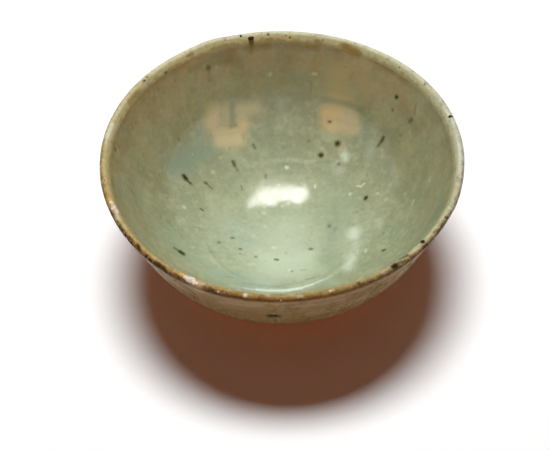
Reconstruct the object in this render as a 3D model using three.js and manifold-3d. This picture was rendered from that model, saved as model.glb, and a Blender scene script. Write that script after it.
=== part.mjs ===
// Wheel-thrown stoneware bowl with a celadon glaze, an iron-brown lip and an added foot ring.
// Millimetres, +Z up. The origin is the middle of the flat foot, and -Y is the front.
// Every piece is turned from one family of wall curves, so coats and clay share their surfaces.

import * as THREE from "three";
import { mergeVertices } from "three/addons/utils/BufferGeometryUtils.js";
import Module from "manifold-3d";

// Overall size
const mouthRadius = 70;
const height = 62;

// Outer wall: a rounded rise from the foot, and an outward flare near the lip
const wallFootRadius = 28;
const wallRoundness = 2.15;
const wallFullness = 1.5;
const lipFlare = 4.4;
const flareDepth = 20.3;
const flarePower = 2;

// Clay thickness at the lip, at mid height, where the wall meets the foot, and in the floor
const lipThickness = 2.2;
const wallThickness = 3.4;
const footWallThickness = 10;
const floorThickness = 4.2;

// The well: a shallow dish in the floor, with a soft edge where the inner wall starts
const wellRadius = 34;

// Foot ring
const footRingHeight = 7;
const footRingWidth = 4.5;
const footRingTaper = 1;
const footEdge = 0.8;

// Glaze coats: they thin towards the lip and pool in the well
const wellGlaze = 0.9;
const innerGlaze = 0.5;
const outerGlaze = 0.45;
const lipGlaze = 0.3;
const footWellGlaze = 0.4;
const lipBandDepth = 2.4;
const bareClayHeight = 2.6;

// The hand-made waviness, full size at the lip and nothing at the foot.
// Each wave has its count round the rim, its size and the angle of one crest from the front.
const radiusWaves = [
  { count: 2, size: 0.18, crest: 77 },
  { count: 3, size: 0.32, crest: -9 },
  { count: 4, size: 0.18, crest: 44 },
  { count: 5, size: 0.05, crest: -30 },
];
const heightWaves = [
  { count: 2, size: 0.23, crest: 44 },
  { count: 3, size: 0.17, crest: -54 },
];
// Places where a finger pushed the rim outwards
const pinches = [
  { angle: -156, size: 0.9, spread: 7 },
  { angle: 67, size: 0.26, spread: 6 },
];

// Lumps of kiln grit that stuck to the lip in the firing: share is the way over the lip's round
// top, from its outer side (0) to its inner side (1), and the sizes are half-lengths
const gritLumps = [
  { name: "kiln_grit_front", angle: -29.5, share: 0.38, along: 2.6, across: 1.3, tall: 1.3 },
  { name: "kiln_grit_side", angle: -67.5, share: 0.38, along: 2.5, across: 1.2, tall: 1.2 },
];

// Facets
const segments = 60;
const wallSteps = 8;
const wallStepPower = 1.3;
const floorSteps = 5;
const lipSteps = 6;
const stationGap = 0.02;
const halvings = 40;
const startStep = 1e-6;

const radians = THREE.MathUtils.degToRad;

// Lip geometry that follows from the sizes above
const flareAngle = Math.atan((flarePower * lipFlare) / flareDepth);
const lipRound = lipThickness / 2;
const wallTopRadius = mouthRadius - lipGlaze - lipRound * (1 - Math.cos(flareAngle));
const wallTopHeight = height - lipGlaze - lipRound * (1 + Math.sin(flareAngle));
const wallRise = wallTopHeight - footRingHeight;

// Clay thickness and glaze thickness at a share u of the wall's rise. Each goes from one size
// at the lip to another on the wall, and thickens again towards the foot.
const graded = (u, lip, wall, foot, lipPower, footPower) =>
  lip + (wall - lip) * (1 - u ** lipPower) + (foot - wall) * (1 - u) ** footPower;
const clayAt = (u) => graded(u, lipThickness, wallThickness, footWallThickness, 2, 3);
const innerGlazeAt = (u) => graded(u, lipGlaze, innerGlaze, wellGlaze, 8, 3);
const outerGlazeAt = (u) => graded(u, lipGlaze, outerGlaze, outerGlaze, 8, 1);

// A point on the clay's outer face, with its outward normal
function outerWall(u) {
  const body = wallTopRadius - lipFlare - wallFootRadius;
  const round = 1 - (1 - Math.max(u, startStep)) ** wallRoundness;
  const roundRate = wallRoundness * (1 - u) ** (wallRoundness - 1);
  const flare = Math.max(0, 1 - ((1 - u) * wallRise) / flareDepth);
  const point = new THREE.Vector2(
    wallFootRadius + body * round ** (1 / wallFullness) + lipFlare * flare ** flarePower,
    footRingHeight + u * wallRise,
  );
  const lean =
    (body * round ** (1 / wallFullness - 1) * roundRate) / (wallFullness * wallRise) +
    (lipFlare * flarePower * flare ** (flarePower - 1)) / flareDepth;
  return { point, normal: new THREE.Vector2(1, -lean).normalize() };
}

// Points at a share u of the wall's rise, a coat's thickness away from the clay where coat is 1
function outside(u, coat = 0) {
  const { point, normal } = outerWall(u);
  return point.addScaledVector(normal, coat * outerGlazeAt(u));
}

function inside(u, coat = 0) {
  const { point, normal } = outerWall(u);
  return point.addScaledVector(normal, -clayAt(u) - coat * innerGlazeAt(u));
}

// The share of the wall's rise where the inner wall reaches the well's radius
function findWellEdge() {
  let [low, high] = [0, 1];
  for (let step = 0; step < halvings; step++) {
    const middle = (low + high) / 2;
    if (inside(middle).x < wellRadius) low = middle;
    else high = middle;
  }
  return low;
}
const wellEdge = findWellEdge();

// The inner floor: a dish inside the well's edge, given by a share of its radius
function floorAt(share, coat = 0) {
  const edge = inside(wellEdge, coat);
  const middle = footRingHeight + floorThickness + coat * wellGlaze;
  return new THREE.Vector2(edge.x * share, middle + (edge.y - middle) * share ** 2);
}

// The rounded top of the lip, from the outer face (share 0) over to the inner face (share 1)
function lipAt(share, coat = 0) {
  const { point, normal } = outerWall(1);
  const middle = point.addScaledVector(normal, -lipRound);
  const turn = share * Math.PI - flareAngle;
  const round = lipRound + coat * lipGlaze;
  return new THREE.Vector2(middle.x + round * Math.cos(turn), middle.y + round * Math.sin(turn));
}

// Stations on the wall: the foot, the glaze line, evenly graded steps and the edge of the lip band
const glazeLine = bareClayHeight / wallRise;
const lipBand = 1 - lipBandDepth / wallRise;
const wallStations = Array.from(
  { length: wallSteps + 1 },
  (_, i) => glazeLine + (lipBand - glazeLine) * (i / wallSteps) ** wallStepPower,
);
const shares = (steps) => Array.from({ length: steps + 1 }, (_, i) => i / steps);
const outerStations = wallStations;
const innerStations = [wellEdge, ...wallStations.filter((u) => u > wellEdge + stationGap)];
const down = (stations) => [...stations].reverse();
const floorShares = shares(floorSteps).slice(0, -1);

// The waviness moves a point of the plain section to its place on the hand-made bowl
const wave = (waves, angle) =>
  waves.reduce((sum, { count, size, crest }) => sum + size * Math.cos(count * (angle - radians(crest))), 0);
const pinch = (angle) =>
  pinches.reduce((sum, p) => {
    const away = Math.atan2(Math.sin(angle - radians(p.angle)), Math.cos(angle - radians(p.angle)));
    return sum + p.size * Math.exp(-((away / radians(p.spread)) ** 2));
  }, 0);

function handMade(point, angle) {
  const rise = THREE.MathUtils.smoothstep(point.y, footRingHeight, height);
  const reach = point.x / mouthRadius;
  const radius = point.x + rise * reach * (wave(radiusWaves, angle) + rise ** 3 * pinch(angle));
  const level = point.y + rise * reach * wave(heightWaves, angle);
  return new THREE.Vector3(radius * Math.sin(angle), -radius * Math.cos(angle), level);
}

const isLower = (p, q) => (p.y === q.y ? p.x < q.x : p.y < q.y);

// Turns a closed section round the axis. The section runs anticlockwise, with the radius to the right.
// Each four-sided facet is split the same way whichever piece it is on, so touching pieces match.
function turned(section) {
  const geometry = new THREE.LatheGeometry(section, segments);
  const place = geometry.attributes.position;
  const index = [];
  const at = (i, j) => i * section.length + j;
  for (let i = 0; i <= segments; i++) {
    const angle = (2 * Math.PI * (i % segments)) / segments;
    section.forEach((point, j) => place.setXYZ(at(i, j), ...handMade(point, angle)));
  }
  for (let i = 0; i < segments; i++) {
    for (let j = 0; j < section.length - 1; j++) {
      const [a, b, c, d] = [at(i, j), at(i + 1, j), at(i + 1, j + 1), at(i, j + 1)];
      if (isLower(section[j], section[j + 1])) index.push(a, b, c, a, c, d);
      else index.push(a, b, d, b, c, d);
    }
  }
  return closed(geometry, index);
}

// Merges the seam and the points on the axis, and drops the facets that have no area
function closed(geometry, index) {
  geometry.deleteAttribute("normal");
  geometry.deleteAttribute("uv");
  geometry.setIndex(index);
  const merged = mergeVertices(geometry, 1e-4);
  const kept = [];
  const all = merged.index.array;
  for (let k = 0; k < all.length; k += 3) {
    const [a, b, c] = all.slice(k, k + 3);
    if (a !== b && b !== c && c !== a) kept.push(a, b, c);
  }
  merged.setIndex(kept);
  return merged;
}

// Sections of the turned pieces
const flat = (radius, level) => new THREE.Vector2(radius, level);
const ringBottomOuter = wallFootRadius - footRingTaper;
const ringBottomInner = ringBottomOuter - footRingWidth;
const ringTopInner = ringBottomInner - footRingTaper;

function claySection() {
  return [
    flat(0, footRingHeight),
    flat(ringTopInner, footRingHeight),
    outside(0),
    ...outerStations.map((u) => outside(u)),
    ...shares(lipSteps).map((s) => lipAt(s)),
    ...down(innerStations).map((u) => inside(u)),
    ...down(floorShares).map((s) => floorAt(s)),
  ];
}

function footRingSection() {
  return [
    flat(ringTopInner, footRingHeight),
    flat(ringBottomInner, footEdge),
    flat(ringBottomInner + footEdge, 0),
    flat(ringBottomOuter - footEdge, 0),
    flat(ringBottomOuter, footEdge),
    flat(wallFootRadius, footRingHeight),
    flat(ringTopInner, footRingHeight),
  ];
}

function innerGlazeSection() {
  return [
    ...floorShares.map((s) => floorAt(s)),
    ...innerStations.map((u) => inside(u)),
    ...down(innerStations).map((u) => inside(u, 1)),
    ...down(floorShares).map((s) => floorAt(s, 1)),
  ];
}

function outerGlazeSection() {
  return [
    ...outerStations.map((u) => outside(u, 1)),
    ...down(outerStations).map((u) => outside(u)),
    outside(glazeLine, 1),
  ];
}

function lipGlazeSection() {
  return [
    outside(lipBand, 1),
    ...shares(lipSteps).map((s) => lipAt(s, 1)),
    inside(lipBand, 1),
    inside(lipBand),
    ...down(shares(lipSteps)).map((s) => lipAt(s)),
    outside(lipBand),
    outside(lipBand, 1),
  ];
}

// The whole glazed wall as one section, which only cuts what sits on it
function glazedWallSection() {
  return [
    flat(0, footRingHeight),
    outside(glazeLine),
    ...outerStations.map((u) => outside(u, 1)),
    ...shares(lipSteps).map((s) => lipAt(s, 1)),
    ...down(innerStations).map((u) => inside(u, 1)),
    flat(0, footRingHeight + floorThickness),
  ];
}

// The glaze inside the foot ring meets the ring's leaning inner face
const ringLean = footRingTaper / (footRingHeight - footEdge);

function footWellGlazeSection() {
  return [
    flat(0, footRingHeight - footWellGlaze),
    flat(ringTopInner + footWellGlaze * ringLean, footRingHeight - footWellGlaze),
    flat(ringTopInner, footRingHeight),
    flat(0, footRingHeight),
  ];
}

// Finishes
const finish = (color, roughness) => new THREE.MeshStandardMaterial({ color, roughness, metalness: 0 });
const finishes = {
  bareClay: finish(0xa68a68, 0.8),
  celadon: finish(0xa9b394, 0.2),
  oliveGlaze: finish(0x7c6a4b, 0.25),
  ironLip: finish(0x8f7547, 0.35),
  grit: finish(0xd8ccae, 0.55),
};

const bowl = new THREE.Group();

function add(name, geometry, material) {
  const mesh = new THREE.Mesh(geometry, material);
  mesh.name = name;
  bowl.add(mesh);
}

add("clay_body", turned(claySection()), finishes.bareClay);
add("foot_ring", turned(footRingSection()), finishes.bareClay);
add("inner_glaze", turned(innerGlazeSection()), finishes.celadon);
add("outer_glaze", turned(outerGlazeSection()), finishes.oliveGlaze);
add("lip_glaze", turned(lipGlazeSection()), finishes.ironLip);
add("foot_well_glaze", turned(footWellGlazeSection()), finishes.oliveGlaze);

// The lumps are cut by the lip they sit on
const wasm = await Module();
wasm.setup();

const toSolid = (geometry) =>
  new wasm.Manifold(
    new wasm.Mesh({
      numProp: 3,
      vertProperties: Float32Array.from(geometry.attributes.position.array),
      triVerts: Uint32Array.from(geometry.index.array),
    }),
  );

function fromSolid(solid) {
  const mesh = solid.getMesh();
  const geometry = new THREE.BufferGeometry();
  geometry.setAttribute("position", new THREE.BufferAttribute(mesh.vertProperties, 3));
  geometry.setIndex(new THREE.BufferAttribute(mesh.triVerts, 1));
  return geometry;
}

function gritLump({ angle, share, along, across, tall }) {
  const ball = new THREE.IcosahedronGeometry(1, 3);
  ball.scale(along, across, tall);
  ball.rotateZ(radians(angle));
  const seat = handMade(lipAt(share), radians(angle));
  ball.translate(seat.x, seat.y, seat.z);
  const all = Array.from({ length: ball.attributes.position.count }, (_, i) => i);
  return closed(ball, all);
}

const glazedWall = toSolid(turned(glazedWallSection()));
for (const lump of gritLumps) {
  add(lump.name, fromSolid(toSolid(gritLump(lump)).subtract(glazedWall)), finishes.grit);
}

export default bowl;
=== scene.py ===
# A thrown stoneware bowl: pale green glaze inside, an iron-brown lip and an olive-brown outside.
# Lengths in the dictionaries are millimetres, and meshes are made in metres.

import math
import bmesh
import bpy
from mathutils import Matrix, Vector
from mathutils.bvhtree import BVHTree


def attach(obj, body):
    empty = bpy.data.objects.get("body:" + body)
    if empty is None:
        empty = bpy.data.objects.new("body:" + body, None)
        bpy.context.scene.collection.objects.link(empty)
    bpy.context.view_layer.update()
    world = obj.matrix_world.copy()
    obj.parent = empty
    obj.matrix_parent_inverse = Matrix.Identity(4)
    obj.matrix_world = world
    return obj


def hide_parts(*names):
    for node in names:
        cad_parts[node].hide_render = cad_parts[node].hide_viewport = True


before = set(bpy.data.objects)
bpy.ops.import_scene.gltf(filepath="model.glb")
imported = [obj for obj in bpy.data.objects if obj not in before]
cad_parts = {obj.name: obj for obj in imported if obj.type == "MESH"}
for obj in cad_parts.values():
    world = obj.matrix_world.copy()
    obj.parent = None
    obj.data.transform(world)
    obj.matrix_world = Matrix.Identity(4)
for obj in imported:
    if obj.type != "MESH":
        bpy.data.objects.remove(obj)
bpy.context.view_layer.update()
mm = 0.001
print("stage: frame loaded")


# Node helpers, for shader and geometry trees alike

def addNode(tree, kind, values=None, **settings):
    made = tree.nodes.new(kind)
    for name, value in settings.items():
        setattr(made, name, value)
    for key, value in (values or {}).items():
        giveValue(tree, made.inputs[key], value)
    return made


def at(**values):  # a place, a mark or a layer, with its values by name
    return values


def giveValue(tree, socket, value):
    if isinstance(value, bpy.types.NodeSocket):
        tree.links.new(value, socket)
    elif socket.type == "RGBA":
        socket.default_value = (*value, 1)
    else:
        socket.default_value = value


def changed(tree, kind, shape, values, **settings):  # a geometry node that takes a shape and gives one
    return addNode(tree, kind, {"Geometry": shape, **values}, **settings).outputs[0]


def maths(tree, operation, *values, clamp=False):
    settings = {"operation": operation, "use_clamp": clamp}
    return addNode(tree, "ShaderNodeMath", dict(enumerate(values)), **settings).outputs[0]


def vectors(tree, operation, *values, scale=None):
    made = addNode(tree, "ShaderNodeVectorMath", dict(enumerate(values)), operation=operation)
    if scale is not None:
        giveValue(tree, made.inputs["Scale"], scale)
    single = operation in ("LENGTH", "DOT_PRODUCT", "DISTANCE")
    return made.outputs["Value" if single else "Vector"]


def fade(tree, value, low, high, least=0.0, most=1.0):
    values = {0: value, 1: low, 2: high, 3: least, 4: most}
    return addNode(tree, "ShaderNodeMapRange", values, interpolation_type="SMOOTHSTEP").outputs[0]


def fadeAlong(tree, value, span):  # the span is in millimetres
    return fade(tree, value, *[end * mm for end in span])


def evenly(tree, value, span):  # a share that grows evenly over a span in millimetres
    return addNode(tree, "ShaderNodeMapRange", {0: value, 1: span[0] * mm, 2: span[1] * mm}).outputs[0]


def wandering(tree, value, cloud, depth):  # moves a value up and down by half the depth
    return maths(tree, "ADD", value, maths(tree, "MULTIPLY_ADD", cloud, depth, -depth / 2))


def apart(tree, vector):  # its parts X, Y and Z
    return addNode(tree, "ShaderNodeSeparateXYZ", {0: vector}).outputs


def together(tree, **parts):
    return addNode(tree, "ShaderNodeCombineXYZ", parts).outputs[0]


def blendColours(tree, share, first, second, mode="MIX"):
    values = {0: share, 6: first, 7: second}
    return addNode(tree, "ShaderNodeMix", values, data_type="RGBA", blend_type=mode).outputs[2]


def colourRamp(tree, share, stops, easing="EASE"):
    made = addNode(tree, "ShaderNodeValToRGB", {0: share})
    elements = made.color_ramp.elements
    elements.remove(elements[1])
    elements[0].position, elements[0].color = stops[0][0], (*stops[0][1], 1)
    for place, colour in stops[1:]:
        elements.new(place).color = (*colour, 1)
    made.color_ramp.interpolation = easing
    return made.outputs[0]


def maskedBlend(tree, mask, strength, first, second):
    return blendColours(tree, maths(tree, "MULTIPLY", mask, strength), first, second)


def softNoise(tree, vector, size, detail=2.0, roughness=0.5, seed=0.0):
    values = {"Vector": vector, "W": seed, "Detail": detail, "Roughness": roughness}
    made = addNode(tree, "ShaderNodeTexNoise", values, noise_dimensions="4D")
    if isinstance(size, bpy.types.NodeSocket):
        giveValue(tree, made.inputs["Scale"], maths(tree, "DIVIDE", 1, size))
    else:
        made.inputs["Scale"].default_value = 1 / (size * mm)
    return made.outputs["Fac"]


def newGroup(name, kind, inputs, outputs):
    tree = bpy.data.node_groups.new(name, kind)
    for direction, sockets in (("INPUT", inputs), ("OUTPUT", outputs)):
        for label, socketType, *first in sockets:
            made = tree.interface.new_socket(name=label, in_out=direction, socket_type=socketType)
            if first:
                made.default_value = first[0]
    return tree, tree.nodes.new("NodeGroupInput").outputs, tree.nodes.new("NodeGroupOutput").inputs


def useGroup(tree, group, values):
    made = tree.nodes.new("ShaderNodeGroup")
    made.node_tree = group
    for name, value in values.items():
        giveValue(tree, made.inputs[name], value)
    return made.outputs


# The camera, at the photograph's angle. Pixels are those of its 550 by 450 frame.

sight = {
    "frameWidth": 550,
    "frameHeight": 450,
    "focalPixels": 1174.4,
    "sensorWidth": 36,
    "distance": 451.2,
    "elevation": 50.7,
    "roll": -1.79,
    "moveRight": -2.39,
    "moveUp": -28.52,
    "aimHeight": 62,
}


def sightAxes():
    elevation, roll = math.radians(sight["elevation"]), math.radians(sight["roll"])
    back = Vector((0, -math.cos(elevation), math.sin(elevation)))
    level, rise = Vector((1, 0, 0)), Vector((0, math.sin(elevation), math.cos(elevation)))
    right = level * math.cos(roll) + rise * math.sin(roll)
    return right, rise * math.cos(roll) - level * math.sin(roll), back


def sightPoint():
    right, up, back = sightAxes()
    place = Vector((0, 0, sight["aimHeight"])) + back * sight["distance"]
    return (place + right * sight["moveRight"] + up * sight["moveUp"]) * mm


def sightLine(x, y):
    right, up, back = sightAxes()
    across, down = x - sight["frameWidth"] / 2, y - sight["frameHeight"] / 2
    return (right * across - up * down - back * sight["focalPixels"]).normalized()


def addCamera():
    data = bpy.data.cameras.new("photoCamera")
    data.sensor_width = sight["sensorWidth"]
    data.lens = sight["focalPixels"] / sight["frameWidth"] * sight["sensorWidth"]
    camera = bpy.data.objects.new("photoCamera", data)
    bpy.context.collection.objects.link(camera)
    right, up, back = sightAxes()
    turn = Matrix((right, up, back)).transposed().to_4x4()
    camera.matrix_world = Matrix.Translation(sightPoint()) @ turn
    bpy.context.scene.camera = camera


addCamera()
print("stage: camera placed")


# The bowl's plain section, from the same sizes as the CAD source

bowl = {
    "mouthRadius": 70,
    "height": 62,
    "wallFootRadius": 28,
    "wallRoundness": 2.15,
    "wallFullness": 1.5,
    "lipFlare": 4.4,
    "flareDepth": 20.3,
    "flarePower": 2,
    "lipThickness": 2.2,
    "wallThickness": 3.4,
    "footWallThickness": 10,
    "floorThickness": 4.2,
    "wellRadius": 34,
    "footRingHeight": 7,
    "footRingWidth": 4.5,
    "footRingTaper": 1,
    "footEdge": 0.8,
    "wellGlaze": 0.9,
    "innerGlaze": 0.5,
    "outerGlaze": 0.45,
    "lipGlaze": 0.3,
    "footWellGlaze": 0.4,
    "lipBandDepth": 2.4,
    "bareClayHeight": 2.6,
}
flareAngle = math.atan(bowl["flarePower"] * bowl["lipFlare"] / bowl["flareDepth"])
lipRound = bowl["lipThickness"] / 2
wallTopRadius = bowl["mouthRadius"] - bowl["lipGlaze"] - lipRound * (1 - math.cos(flareAngle))
wallTopHeight = bowl["height"] - bowl["lipGlaze"] - lipRound * (1 + math.sin(flareAngle))
wallRise = wallTopHeight - bowl["footRingHeight"]
glazeLine = bowl["bareClayHeight"] / wallRise
lipBand = 1 - bowl["lipBandDepth"] / wallRise
ringBottomOuter = bowl["wallFootRadius"] - bowl["footRingTaper"]
ringBottomInner = ringBottomOuter - bowl["footRingWidth"]
ringTopInner = ringBottomInner - bowl["footRingTaper"]


def graded(u, lip, wall, foot, lipPower, footPower):
    return lip + (wall - lip) * (1 - u**lipPower) + (foot - wall) * (1 - u) ** footPower


def outerWall(u):  # a point of the clay's outer face and its outward normal
    leastShare = 1e-6  # at the foot itself the lean would be endless
    body = wallTopRadius - bowl["lipFlare"] - bowl["wallFootRadius"]
    power, fullness = bowl["wallRoundness"], bowl["wallFullness"]
    rounded = 1 - (1 - max(u, leastShare)) ** power
    flare = max(0.0, 1 - (1 - u) * wallRise / bowl["flareDepth"])
    radius = bowl["wallFootRadius"] + body * rounded ** (1 / fullness)
    radius += bowl["lipFlare"] * flare ** bowl["flarePower"]
    lean = body * rounded ** (1 / fullness - 1) * power * (1 - u) ** (power - 1) / (fullness * wallRise)
    lean += bowl["lipFlare"] * bowl["flarePower"] * flare ** (bowl["flarePower"] - 1) / bowl["flareDepth"]
    return Vector((radius, bowl["footRingHeight"] + u * wallRise)), Vector((1, -lean)).normalized()


def outside(u, coat=0):
    place, normal = outerWall(u)
    glaze = graded(u, bowl["lipGlaze"], bowl["outerGlaze"], bowl["outerGlaze"], lipPower=8, footPower=1)
    return place + normal * coat * glaze


def inside(u, coat=0):
    place, normal = outerWall(u)
    clay = graded(u, bowl["lipThickness"], bowl["wallThickness"], bowl["footWallThickness"],
                  lipPower=2, footPower=3)
    glaze = graded(u, bowl["lipGlaze"], bowl["innerGlaze"], bowl["wellGlaze"], lipPower=8, footPower=3)
    return place - normal * (clay + coat * glaze)


def findWellEdge():
    low, high, halvings = 0.0, 1.0, 40
    for _ in range(halvings):
        middle = (low + high) / 2
        low, high = (middle, high) if inside(middle).x < bowl["wellRadius"] else (low, middle)
    return low


wellEdge = findWellEdge()


def floorAt(share, coat=0):
    edge = inside(wellEdge, coat)
    middle = bowl["footRingHeight"] + bowl["floorThickness"] + coat * bowl["wellGlaze"]
    return Vector((edge.x * share, middle + (edge.y - middle) * share**2))


def lipAt(share, coat=0):  # from the outer face (0) over the lip to the inner face (1)
    place, normal = outerWall(1)
    turn = share * math.pi - flareAngle
    reach = lipRound + coat * bowl["lipGlaze"]
    return place - normal * lipRound + Vector((math.cos(turn), math.sin(turn))) * reach


def steps(low, high, count, power=1.0):
    return [low + (high - low) * (i / count) ** power for i in range(count + 1)]


# The waviness of a hand-made rim, as in the CAD source: full size at the lip, nothing at the foot

rimWaves = {
    "radius": [
        {"count": 2, "size": 0.18, "crest": 77},
        {"count": 3, "size": 0.32, "crest": -9},
        {"count": 4, "size": 0.18, "crest": 44},
        {"count": 5, "size": 0.05, "crest": -30},
    ],
    "height": [
        {"count": 2, "size": 0.23, "crest": 44},
        {"count": 3, "size": 0.17, "crest": -54},
    ],
    "pinches": [
        {"angle": -156, "size": 0.9, "spread": 7},
        {"angle": 67, "size": 0.26, "spread": 6},
    ],
    "pinchPower": 3,
}


def waveSum(tree, angle, waves):
    total = 0.0
    for wave in waves:
        turned = maths(tree, "SUBTRACT", angle, math.radians(wave["crest"]))
        swing = maths(tree, "COSINE", maths(tree, "MULTIPLY", turned, wave["count"]))
        total = maths(tree, "MULTIPLY_ADD", swing, wave["size"] * mm, total)
    return total


def pinchSum(tree, angle, pinches):
    total = 0.0
    for pinch in pinches:
        turned = maths(tree, "SUBTRACT", angle, math.radians(pinch["angle"]))
        away = maths(tree, "ARCTAN2", maths(tree, "SINE", turned), maths(tree, "COSINE", turned))
        square = maths(tree, "POWER", maths(tree, "DIVIDE", away, math.radians(pinch["spread"])), 2)
        bump = maths(tree, "EXPONENT", maths(tree, "MULTIPLY", square, -1))
        total = maths(tree, "MULTIPLY_ADD", bump, pinch["size"] * mm, total)
    return total


# Turns a section round the bowl's axis. The section is a chain of points with these attributes:
# outward (its normal), coat (how uneven the glaze may be), rings (throwing marks), nibble (small
# dents), slide (the way a glaze edge wanders), along (length in metres) and across (a share).

mergeDistance = 0.001


def buildTurningTree():
    sizes = ["Ring Depth", "Ring Spacing", "Broad Depth", "Broad Size", "Fine Depth", "Fine Size",
             "Nibble Depth", "Nibble Size", "Wander Depth", "Wander Size", "Seed", "Crisp Angle"]
    inputs = [("Section", "NodeSocketGeometry"), ("Segments", "NodeSocketInt", 420)]
    inputs += [(name, "NodeSocketFloat", 0.01) for name in sizes]
    inputs += [("Finish", "NodeSocketMaterial")]
    tree, given, result = newGroup("turnedSection", "GeometryNodeTree", inputs,
                                   [("Geometry", "NodeSocketGeometry")])
    count = addNode(tree, "GeometryNodeAttributeDomainSize", {0: given["Section"]}).outputs["Point Count"]
    columns = maths(tree, "ADD", given["Segments"], 1)
    grid = addNode(tree, "GeometryNodeMeshGrid", {0: 1, 1: 1, 2: columns, 3: count}).outputs["Mesh"]
    place = apart(tree, tree.nodes.new("GeometryNodeInputPosition").outputs[0])
    angle = maths(tree, "MULTIPLY", maths(tree, "ADD", place["X"], 0.5), math.tau)
    last = maths(tree, "SUBTRACT", count, 1)
    row = maths(tree, "ROUND", maths(tree, "MULTIPLY", maths(tree, "ADD", place["Y"], 0.5), last))

    def sampled(source, dataType="FLOAT"):
        made = addNode(tree, "GeometryNodeSampleIndex", None, data_type=dataType, domain="POINT")
        for key, value in (("Geometry", given["Section"]), ("Value", source), ("Index", row)):
            giveValue(tree, made.inputs[key], value)
        return made.outputs["Value"]

    def attribute(name, dataType="FLOAT"):
        made = addNode(tree, "GeometryNodeInputNamedAttribute", {"Name": name}, data_type=dataType)
        return sampled(made.outputs["Attribute"], dataType)

    position = tree.nodes.new("GeometryNodeInputPosition").outputs[0]
    plain = apart(tree, sampled(position, "FLOAT_VECTOR"))
    back = maths(tree, "MULTIPLY", maths(tree, "COSINE", angle), -1)
    outDirection = together(tree, X=maths(tree, "SINE", angle), Y=back)
    raised = together(tree, Z=plain["Z"])
    spot = vectors(tree, "ADD", vectors(tree, "SCALE", outDirection, scale=plain["X"]), raised)

    def roughly(size, depth, seedStep, where=spot):
        seed = maths(tree, "ADD", given["Seed"], seedStep)
        wave = softNoise(tree, where, given[size], detail=3, seed=seed)
        return maths(tree, "MULTIPLY", maths(tree, "SUBTRACT", wave, 0.5), given[depth])

    broad = roughly("Broad Size", "Broad Depth", seedStep=0)
    unevenness = maths(tree, "ADD", broad, roughly("Fine Size", "Fine Depth", seedStep=7))
    turns = maths(tree, "DIVIDE", attribute("along"), given["Ring Spacing"])
    turns = maths(tree, "MULTIPLY", turns, math.tau)
    drift = maths(tree, "MULTIPLY", roughly("Broad Size", "Ring Depth", seedStep=13), 2)
    spiral = maths(tree, "SINE", maths(tree, "ADD", turns, angle))
    rings = maths(tree, "ADD", maths(tree, "MULTIPLY", spiral, given["Ring Depth"]), drift)
    nibbles = roughly("Nibble Size", "Nibble Depth", seedStep=21)
    lift = maths(tree, "MULTIPLY", unevenness, attribute("coat"))
    lift = maths(tree, "MULTIPLY_ADD", rings, attribute("rings"), lift)
    lift = maths(tree, "MULTIPLY_ADD", nibbles, attribute("nibble"), lift)
    aroundFoot = vectors(tree, "SCALE", outDirection, scale=bowl["wallFootRadius"] * mm)
    wander = roughly("Wander Size", "Wander Depth", seedStep=31, where=aroundFoot)
    shift = vectors(tree, "SCALE", attribute("outward", "FLOAT_VECTOR"), scale=lift)
    slide = vectors(tree, "SCALE", attribute("slide", "FLOAT_VECTOR"), scale=wander)
    shift = apart(tree, vectors(tree, "ADD", shift, slide))
    radius = maths(tree, "MAXIMUM", maths(tree, "ADD", plain["X"], shift["X"]), 0)
    level = maths(tree, "ADD", plain["Z"], shift["Z"])

    rise = fade(tree, level, bowl["footRingHeight"] * mm, bowl["height"] * mm)
    share = maths(tree, "MULTIPLY", rise, maths(tree, "DIVIDE", radius, bowl["mouthRadius"] * mm))
    pinchRise = maths(tree, "POWER", rise, rimWaves["pinchPower"])
    pinched = maths(tree, "MULTIPLY", pinchSum(tree, angle, rimWaves["pinches"]), pinchRise)
    wide = maths(tree, "ADD", waveSum(tree, angle, rimWaves["radius"]), pinched)
    high = waveSum(tree, angle, rimWaves["height"])
    wavyRadius = maths(tree, "MULTIPLY_ADD", wide, share, radius)
    lifted = together(tree, Z=maths(tree, "MULTIPLY_ADD", high, share, level))
    final = vectors(tree, "ADD", vectors(tree, "SCALE", outDirection, scale=wavyRadius), lifted)

    values = {"Name": "across", "Value": attribute("across")}
    shape = changed(tree, "GeometryNodeStoreNamedAttribute", grid, values, data_type="FLOAT", domain="POINT")
    shape = changed(tree, "GeometryNodeSetPosition", shape, {"Position": final})
    shape = changed(tree, "GeometryNodeMergeByDistance", shape, {"Distance": mergeDistance * mm})
    bend = tree.nodes.new("GeometryNodeInputMeshEdgeAngle").outputs["Unsigned Angle"]
    crisp = maths(tree, "GREATER_THAN", bend, given["Crisp Angle"])
    shape = changed(tree, "GeometryNodeSetShadeSmooth", shape, {}, domain="FACE")
    values = {"Selection": crisp, "Shade Smooth": False}
    shape = changed(tree, "GeometryNodeSetShadeSmooth", shape, values, domain="EDGE")
    shape = changed(tree, "GeometryNodeRealizeInstances", shape, {})
    shape = changed(tree, "GeometryNodeSetMaterial", shape, {"Material": given["Finish"]})
    giveValue(tree, result["Geometry"], shape)
    return tree


turningTree = buildTurningTree()


def wayAt(places, i):  # the direction of a chain of points at one of them
    return (places[min(i + 1, len(places) - 1)] - places[max(i - 1, 0)]).normalized()


def stations(places, coat=0.0, rings=0.0, nibble=0.0, slide=0.0, across=None, seen=True):
    def picked(value):  # a value may change from place to place
        return value(place) if callable(value) else value

    made = []
    for i, place in enumerate(places):
        way = wayAt(places, i)
        made.append({
            "place": place,
            "outward": Vector((way.y, -way.x)) if seen else Vector((0, 0)),
            "coat": picked(coat),
            "rings": picked(rings),
            "nibble": picked(nibble),
            "slide": way * picked(slide),
            "across": across[i] if across else 0.0,
        })
    return made


def hidden(places):
    return stations(places, seen=False)


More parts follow.
